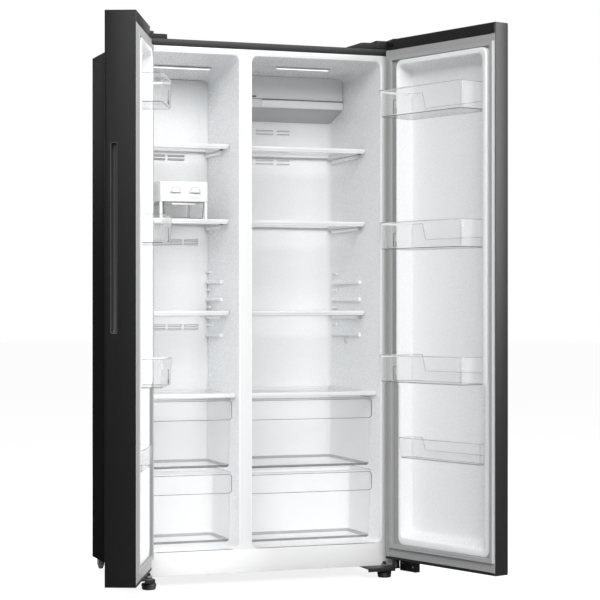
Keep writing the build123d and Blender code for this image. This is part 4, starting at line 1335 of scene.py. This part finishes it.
def door_basket(door, number):
    """A clear door basket: tall towards the room, low against the door between slanting shoulders."""
    name = f"{door}_basket_{number}"
    low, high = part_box(name)
    shallow = number == 4
    reach = 0.014 if shallow else BASKET_REACH[door]
    x = (RIM[door][0] + 0.0125, RIM[door][1] - 0.0245)
    y = (-RECESS + 0.0005, reach)
    z = (low.z, high.z)
    back = y[0] + 0.014
    back_height = z[0] + (z[1] - z[0]) * 0.40
    shoulder = (x[0] + 0.052, x[0] + 0.068, x[1] - 0.040, x[1] - 0.026)

    def rim(u, v):
        if v > back or u <= shoulder[0] or u >= shoulder[3]:
            return z[1]
        if u < shoulder[1]:
            return z[1] - (z[1] - back_height) * (u - shoulder[0]) / (shoulder[1] - shoulder[0])
        if u > shoulder[2]:
            return back_height + (z[1] - back_height) * (u - shoulder[2]) / (shoulder[3] - shoulder[2])
        return back_height

    bm = bmesh.new()
    breaks = (shoulder, (y[0] + 0.030, y[1] - 0.014))
    # The middle of each corner's wall takes the darker clear: painted shade.
    tub(bm, x, y, z, 0.0025, 0.010, 0.005, 0.004, rim, breaks, painted_corner_material=3)
    # The rim block takes the pale clear: a painted highlight along the rolled rim.
    rim_z = (z[1] - 0.0035, z[1])
    block(bm, inset(x, 0.006), (y[1] - 0.0050, y[1] - 0.0005), rim_z, 0.001, axis="x", material=2)
    if not shallow:
        # A hook of three thin bars inside the front wall, in the dark clear: painted shade along its edges
        hook_y = (y[1] - 0.0050, y[1] - 0.0022)
        left = x[0] + 0.072
        right = x[0] + 0.084
        bar = 0.0022
        for side, top in ((left, 0.052), (right, 0.024)):
            block(bm, (side, side + bar), hook_y, (z[0] + 0.008, z[0] + top), 0.0008, material=1)
        bridge_z = (z[0] + 0.050, z[0] + 0.050 + bar)
        block(bm, (left, right + bar), hook_y, bridge_z, 0.0008, axis="x", material=1)
    # A pale strip along the top of the hinge end: a painted highlight.
    end_y = (y[0] + 0.020, y[1] - 0.008)
    end_z = (z[1] - 0.008, z[1] - 0.0005)
    block(bm, (x[0] + 0.0002, x[0] + 0.0045), end_y, end_z, 0.001, axis="y", material=2)
    made = to_object(name + "_tub", bm, [CLEAR, CLEAR_EDGE_PAINTED_SHADE, CLEAR_PAINTED_HIGHLIGHT, CLEAR_CORNER_PAINTED_SHADE])
    hand_over(hang(made, door), name, [name])


def ice_stand():
    """The white housing over the ice trays, on four legs."""
    low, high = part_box("ice_frame")
    wall = 0.003
    leg = 0.008
    x = (low.x, high.x)
    y = (low.y, high.y)
    wall_z = (HOOD_BOTTOM, high.z - 0.001)
    bm = bmesh.new()
    block(bm, x, y, (high.z - wall, high.z), 0.0014, 0.003, "z")
    for near in (low.y, high.y - wall):
        block(bm, x, (near, near + wall), wall_z, 0.0014, axis="x")
    for left in (low.x, high.x - wall):
        block(bm, (left, left + wall), y, wall_z, 0.0014, axis="y")
    for left in (low.x, high.x - leg):
        for near in (low.y + 0.004, high.y - 0.012):
            block(bm, (left, left + leg), (near, near + leg), (low.z, HOOD_BOTTOM + 0.002), 0.001)
    made = to_object("ice_housing", bm, [MOULDED_WHITE])
    for tray in ("left_ice_tray", "right_ice_tray"):
        bore = bmesh.new()
        hole = [(KNOB_BORE, low.y - 0.002), (KNOB_BORE, low.y + wall + 0.002)]
        disc(bore, (node_middle(tray).x, 0, KNOB_Z), "y", hole)
        cut(made, bore)
    shade(made.data)
    hand_over(made, "freezer_shelf_2", ["ice_frame"])


def twist_tray(name):
    """A twist tray with its half round finger knob."""
    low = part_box(name)[0]
    x = node_middle(name).x
    radius = 0.0205
    face = low.y + 0.0112
    dome_z = KNOB_Z - 0.003
    half_turn = [math.radians(180 * step / 24) for step in range(25)]

    def half_rings(section):
        """A half ring over the knob's axis for each reach and level of a section."""
        return [
            [(x + reach * math.cos(a), face + level, dome_z + reach * math.sin(a)) for a in half_turn]
            for reach, level in section
        ]

    cups = eased_copy(name, 0.0006, name + "_cups", MOULDED_WHITE)
    cut_block(cups, span(x, 0.03), (low.y - 0.01, low.y + 0.0110), span(KNOB_Z, 0.03))
    bm = bmesh.new()
    plate = [
        (radius - 0.0006, face - 0.0016), (radius, face - 0.0010), (radius, face - 0.0008),
        (radius - 0.0006, face - 0.0002),
    ]
    disc(bm, (x, 0, KNOB_Z), "y", plate, segments=40)
    arch = (
        (radius, -0.0012), (radius, -0.0042), (radius - 0.0010, -0.0050), (radius - 0.0022, -0.0046),
        (radius - 0.0026, -0.0012),
    )
    loft(bm, list(zip(*half_rings(arch))))
    # The groove between arch and dome is filled grey: painted shade.
    groove = ((0.0180, -0.0008), (0.0180, -0.0020))
    loft(bm, half_rings(groove), material=2)
    dome = ((0.0160, -0.0010), (0.0158, -0.0050), (0.0142, -0.0090), (0.0108, -0.0108), (0.0064, -0.0112))
    loft(bm, half_rings(dome))
    # A grey strip under the dome's flat side: a painted shadow.
    slot_z = (KNOB_Z - 0.0064, KNOB_Z - 0.0034)
    block(bm, span(x, 0.0185), (face - 0.0026, face - 0.0010), slot_z, 0.0003, axis="x", material=1)
    knob = to_object(name + "_knob", bm, [MOULDED_WHITE, SLOT_PAINTED_SHADE_GREY, GROOVE_PAINTED_SHADE])
    hand_over(joined(name + "_twist", [cups, knob]), name, [name])


def ice_box():
    """The clear bin under the trays, with a grip bar along its front in the pale clear: a painted highlight.
    """
    low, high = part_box("ice_bin")
    x = (low.x, high.x)
    bm = bmesh.new()
    # Its rim, base and corners take the dark clear: painted shade along the edges.
    tub(bm, x, (low.y, high.y), (low.z, high.z), 0.002, 0.006, 0.005, 0.003, painted_corner_material=1)
    grip_z = (high.z - 0.010, high.z - 0.004)
    block(bm, inset(x, 0.03), (low.y + 0.0002, low.y + 0.004), grip_z, 0.001, axis="x", material=2)
    made = to_object("ice_box", bm, [CLEAR, CLEAR_EDGE_PAINTED_SHADE, CLEAR_PAINTED_HIGHLIGHT])
    hand_over(made, "ice_bin", ["ice_bin"])


# ---------------------------------------------------------------- doors


def door_outline(door, shrink, radius):
    """The door's plan with rounded corners: from the inner face at the hinge edge, round the outside."""
    width = DOOR_WIDTH[door]
    bevel = DOOR_BEVEL[door]
    outer = -DOOR_THICKNESS + shrink
    corners = [(shrink, -shrink), (shrink, outer)]
    if bevel:
        corners += [(width - bevel - shrink * 0.4, outer), (width - shrink, outer + bevel - shrink * 0.6)]
    else:
        corners += [(width - shrink, outer)]
    corners += [(width - shrink, -shrink)]
    points = []
    count = len(corners)
    for i, corner in enumerate(corners):
        here = Vector(corner)
        before = (Vector(corners[i - 1]) - here).normalized()
        after = (Vector(corners[(i + 1) % count]) - here).normalized()
        half = before.angle(after) / 2
        reach = radius / math.tan(half)
        centre = here + (before + after).normalized() * (radius / math.sin(half))
        start, end = here + before * reach - centre, here + after * reach - centre
        turn = start.angle_signed(end)
        for step in range(ARC_STEPS + 1):
            way = Matrix.Rotation(-turn * step / ARC_STEPS, 2) @ start
            points.append(tuple(centre + way))
    return points


def door_pan(door):
    """The folded steel pan: dark outside and edges, grey on the narrow returns towards the cabinet."""
    width = DOOR_WIDTH[door]
    sheet = 0.001
    over = 0.01
    rear_y = (-0.0055, 0.003)
    bm = bmesh.new()
    loft(bm, [[(u, v, z) for u, v in door_outline(door, 0.0, 0.003)] for z in (DOOR_BOTTOM, DOOR_TOP)])
    made = to_object(door + "_pan", bm, [BLACK_STEEL])
    hollow = bmesh.new()
    inner = door_outline(door, sheet, 0.002)
    loft(hollow, [[(u, v, z) for u, v in inner] for z in (DOOR_BOTTOM - over, DOOR_TOP + over)])
    cut(made, hollow)
    cut_block(made, (RETURN, width - RETURN), rear_y, (DOOR_BOTTOM - 2 * over, DOOR_TOP + 2 * over))
    for z in ((DOOR_TOP - CAP_HEIGHT, DOOR_TOP + over), (DOOR_BOTTOM - over, DOOR_BOTTOM + BOTTOM_CAP)):
        cut_block(made, (0.0035, width - 0.0035), rear_y, z)
    # Room for the roof hinge's arm
    cut_block(made, (-over, 0.0415), (-0.063, 0.01), (TOP - 0.0004, DOOR_TOP + over))
    if door == "freezer":
        cut_block(made, (width - 0.006, width + over), GRIP_Y, GRIP_Z, 0.0002, 0.004, "x")
    made.data.materials.append(RETURN_PAINT)
    for polygon in made.data.polygons:
        if abs(polygon.center.y) < 0.0012 and abs(polygon.normal.y) > 0.7:
            polygon.material_index = 1
    shade(made.data)
    hand_over(hang(made, door), door + "_door", [door + "_door_skin"])


def door_ends(door):
    """The plastic end caps, and two screws low on the inner side at the hinge."""
    made = eased_copy(door + "_door_caps", 0.0008, door + "_door_end_caps", CAP_PLASTIC)
    hand_over(made, door + "_door", [door + "_door_caps"])
    points = [(0.034, -0.0445, 0.050), (0.086, -0.0445, 0.040)]
    heads = screws(door + "_stop_screws", points, (0, 1, 0), SCREW_STEEL, 0.0034)
    hand_over(hang(heads, door), door + "_door")


def door_inner(door):
    """The formed inner panel: grey border, white rim, and a deep recess with soft corners."""
    width = DOOR_WIDTH[door]
    z = (DOOR_BOTTOM + BOTTOM_CAP, DOOR_TOP - CAP_HEIGHT)
    rim = RIM[door]
    rim_z = (0.119, 1.711)
    mouth = (rim[0] + RECESS_MARGIN[0], rim[1] - RECESS_MARGIN[1])
    breaks = span(RIM_STEP, 0.012)

    def ring(u, v, radius, low_height, tall_height=None):
        """One ring of the panel; above the rim's step it can stand taller."""
        tall_height = low_height if tall_height is None else tall_height
        around = outline(u, v, radius, (), breaks, steps=6)
        return [(a, tall_height if b > RIM_STEP else low_height, b) for a, b in around]

    inner_mouth = (mouth[0] - 0.001, mouth[1] + 0.002)
    rings = [
        ring(inset((0, width), 0.0012), z, 0.001, -0.0028),
        ring(inset((0, width), RETURN + 0.0004), inset(z, 0.0006), 0.001, -0.0028),
        ring(inset((0, width), RETURN + 0.0006), inset(z, 0.001), 0.001, -0.0002),
        ring(inset(rim, -0.0015), inset(rim_z, -0.0015), 0.026, -0.0002),
        ring(rim, rim_z, 0.025, 0.001, 0.003),
        ring(inset(rim, 0.0006), inset(rim_z, 0.0006), 0.0245, LOW_RIM - 0.0006, TALL_RIM - 0.0025),
        ring(inset(rim, 0.003), inset(rim_z, 0.003), 0.0225, LOW_RIM, TALL_RIM),
        ring((mouth[0] - 0.004, mouth[1] + 0.008), inset(RECESS_Z, -0.006), 0.021, LOW_RIM, TALL_RIM),
        ring(inner_mouth, inset(RECESS_Z, -0.0015), 0.018, LOW_RIM - 0.002, TALL_RIM - 0.0035),
        ring(mouth, RECESS_Z, 0.0165, LOW_RIM - 0.004, TALL_RIM - 0.009),
        ring(inset(mouth, 0.0002), inset(RECESS_Z, 0.008), 0.0163, -0.030),
        ring(inset(mouth, 0.0003), inset(RECESS_Z, 0.012), 0.0160, -0.040),
        ring(inset(mouth, 0.004), inset(RECESS_Z, 0.017), 0.016, -0.0472),
        ring(inset(mouth, 0.010), inset(RECESS_Z, 0.024), 0.014, -RECESS + 0.0002),
    ]
    bm = bmesh.new()
    faces = loft(bm, rings, caps=(False, True))
    border_rows = 3
    for face in faces[:len(rings[0]) * border_rows]:
        face.material_index = 1
    made = to_object(door + "_door_inner_panel", bm, [DOOR_WHITE, RETURN_PAINT], recalculate=False)
    recess_floor = max(made.data.polygons, key=lambda polygon: polygon.area)
    if recess_floor.normal.y < 0:
        made.data.flip_normals()
    give_wall(made, 0.0016)
    hand_over(hang(made, door), door + "_door", [door + "_door_liner"])


# The seal's section: distance in from its outer edge, and height off the door
SEAL_SECTION = (
    (0.0000, 0.0002), (0.0000, 0.0030), (0.0014, 0.0038), (0.0004, 0.0048), (0.0002, 0.0090),
    (0.0012, 0.0104), (0.0050, 0.0100), (0.0090, 0.0100), (0.0126, 0.0104), (0.0138, 0.0090),
    (0.0136, 0.0048), (0.0124, 0.0038), (0.0140, 0.0030), (0.0140, 0.0002),
)


def door_seal(door):
    """The magnetic seal: a bellows section run round the door with mitred corners."""
    x = (SEAL_MARGIN[0], DOOR_WIDTH[door] - SEAL_MARGIN[1])
    bm = bmesh.new()
    rings = []
    for drawn_in, height in SEAL_SECTION:
        u, v = inset(x, drawn_in), inset(SEAL_Z, drawn_in)
        rings.append([(u[1], height, v[0]), (u[1], height, v[1]), (u[0], height, v[1]), (u[0], height, v[0])])
    loft(bm, rings, closed=True)
    made = to_object(door + "_door_seal", bm, [SEAL_GREY])
    hand_over(hang(made, door), door + "_door", [door + "_door_gasket"])


def grip_insert():
    """The finger groove in the freezer door's free edge, with a slim trim lip."""
    width = DOOR_WIDTH["freezer"]
    face = width - 0.0004
    section = (
        (-0.0016, face - 0.0012), (-0.0016, face), (0.0008, face), (0.0012, face - 0.001),
        (0.0030, width - 0.0250), (0.0060, width - 0.0278),
    )
    rings = []
    for drawn_in, level in section:
        radius = 0.0045 - min(drawn_in, 0.003) * 0.5
        ring = outline(inset(GRIP_Y, drawn_in), inset(GRIP_Z, drawn_in), radius)
        rings.append([(level, u, v) for u, v in ring])
    bm = bmesh.new()
    loft(bm, rings, caps=(False, True))
    made = to_object("freezer_door_grip_insert", bm, [GRIP_METAL], recalculate=False)
    deepest = min(made.data.polygons, key=lambda polygon: polygon.center.x)
    if deepest.normal.x < 0:
        made.data.flip_normals()
    give_wall(made, 0.0008)
    hand_over(hang(made, "freezer"), "freezer_door", ["freezer_door_grip"])


# ---------------------------------------------------------------- foam, and CAD nodes that stay as they are

KEPT_NODES = {
    "freezer_door_foam": FOAM,
    "fridge_door_foam": FOAM,
    "base_tray": ZINC,
    "evaporator": ALUMINIUM,
    "evaporator_fan": MOULDED_WHITE,
    "fan_motor": BLACK_PLASTIC,
    "compressor": BLACK_ENAMEL,
    "condenser": BLACK_ENAMEL,
}


def cabinet_foam():
    """The blown foam between wrapper and liners, set back a little behind the formed mouths."""
    mesh = frame["nodes"]["cabinet_foam"].data.copy()
    for vert in mesh.vertices:
        if vert.co.y < FRONT + 0.002:
            vert.co.y += 0.010
    mesh.materials.clear()
    mesh.materials.append(FOAM)
    hand_over(new_object("cabinet_foam_fill", mesh), "cabinet", ["cabinet_foam"])


def finish_kept_nodes():
    """Gives the CAD nodes that show as they are their finishes."""
    for node, material in KEPT_NODES.items():
        mesh = frame["nodes"][node].data
        mesh.materials.clear()
        mesh.materials.append(material)


# ---------------------------------------------------------------- the whole refrigerator

place_camera()
light_studio()
lay_floor()

cabinet_sleeve()
face_frame()
compartment("freezer", FREEZER_X, FREEZER_CEILING_BACK, FRONT + 0.346)
compartment("fridge", FRIDGE_X, FRIDGE_CEILING_BACK, FRONT + 0.440, [temperature_sensor()])
back_air_slots()
freezer_panel()
fridge_duct()
ceiling_lights()
kick_rail()
roof_hinges()
lower_hinges()
rear_side()
for foot in ("left_foot", "right_foot"):
    levelling_foot(foot)
for roller in ("left_roller", "right_roller"):
    rear_roller(roller)

for side in ("freezer", "fridge"):
    for number in (1, 2, 3):
        glass_shelf(f"{side}_shelf_{number}")
    drawer_roof(f"{side}_drawer_cover")
for drawer, band_bottom in FINGER_BAND_Z.items():
    clear_drawer(drawer, band_bottom)
ice_stand()
for tray in ("left_ice_tray", "right_ice_tray"):
    twist_tray(tray)
ice_box()

for door in ("freezer", "fridge"):
    door_pan(door)
    door_ends(door)
    door_inner(door)
    door_seal(door)
    for number in (1, 2, 3, 4):
        door_basket(door, number)
grip_insert()
cabinet_foam()
finish_kept_nodes()
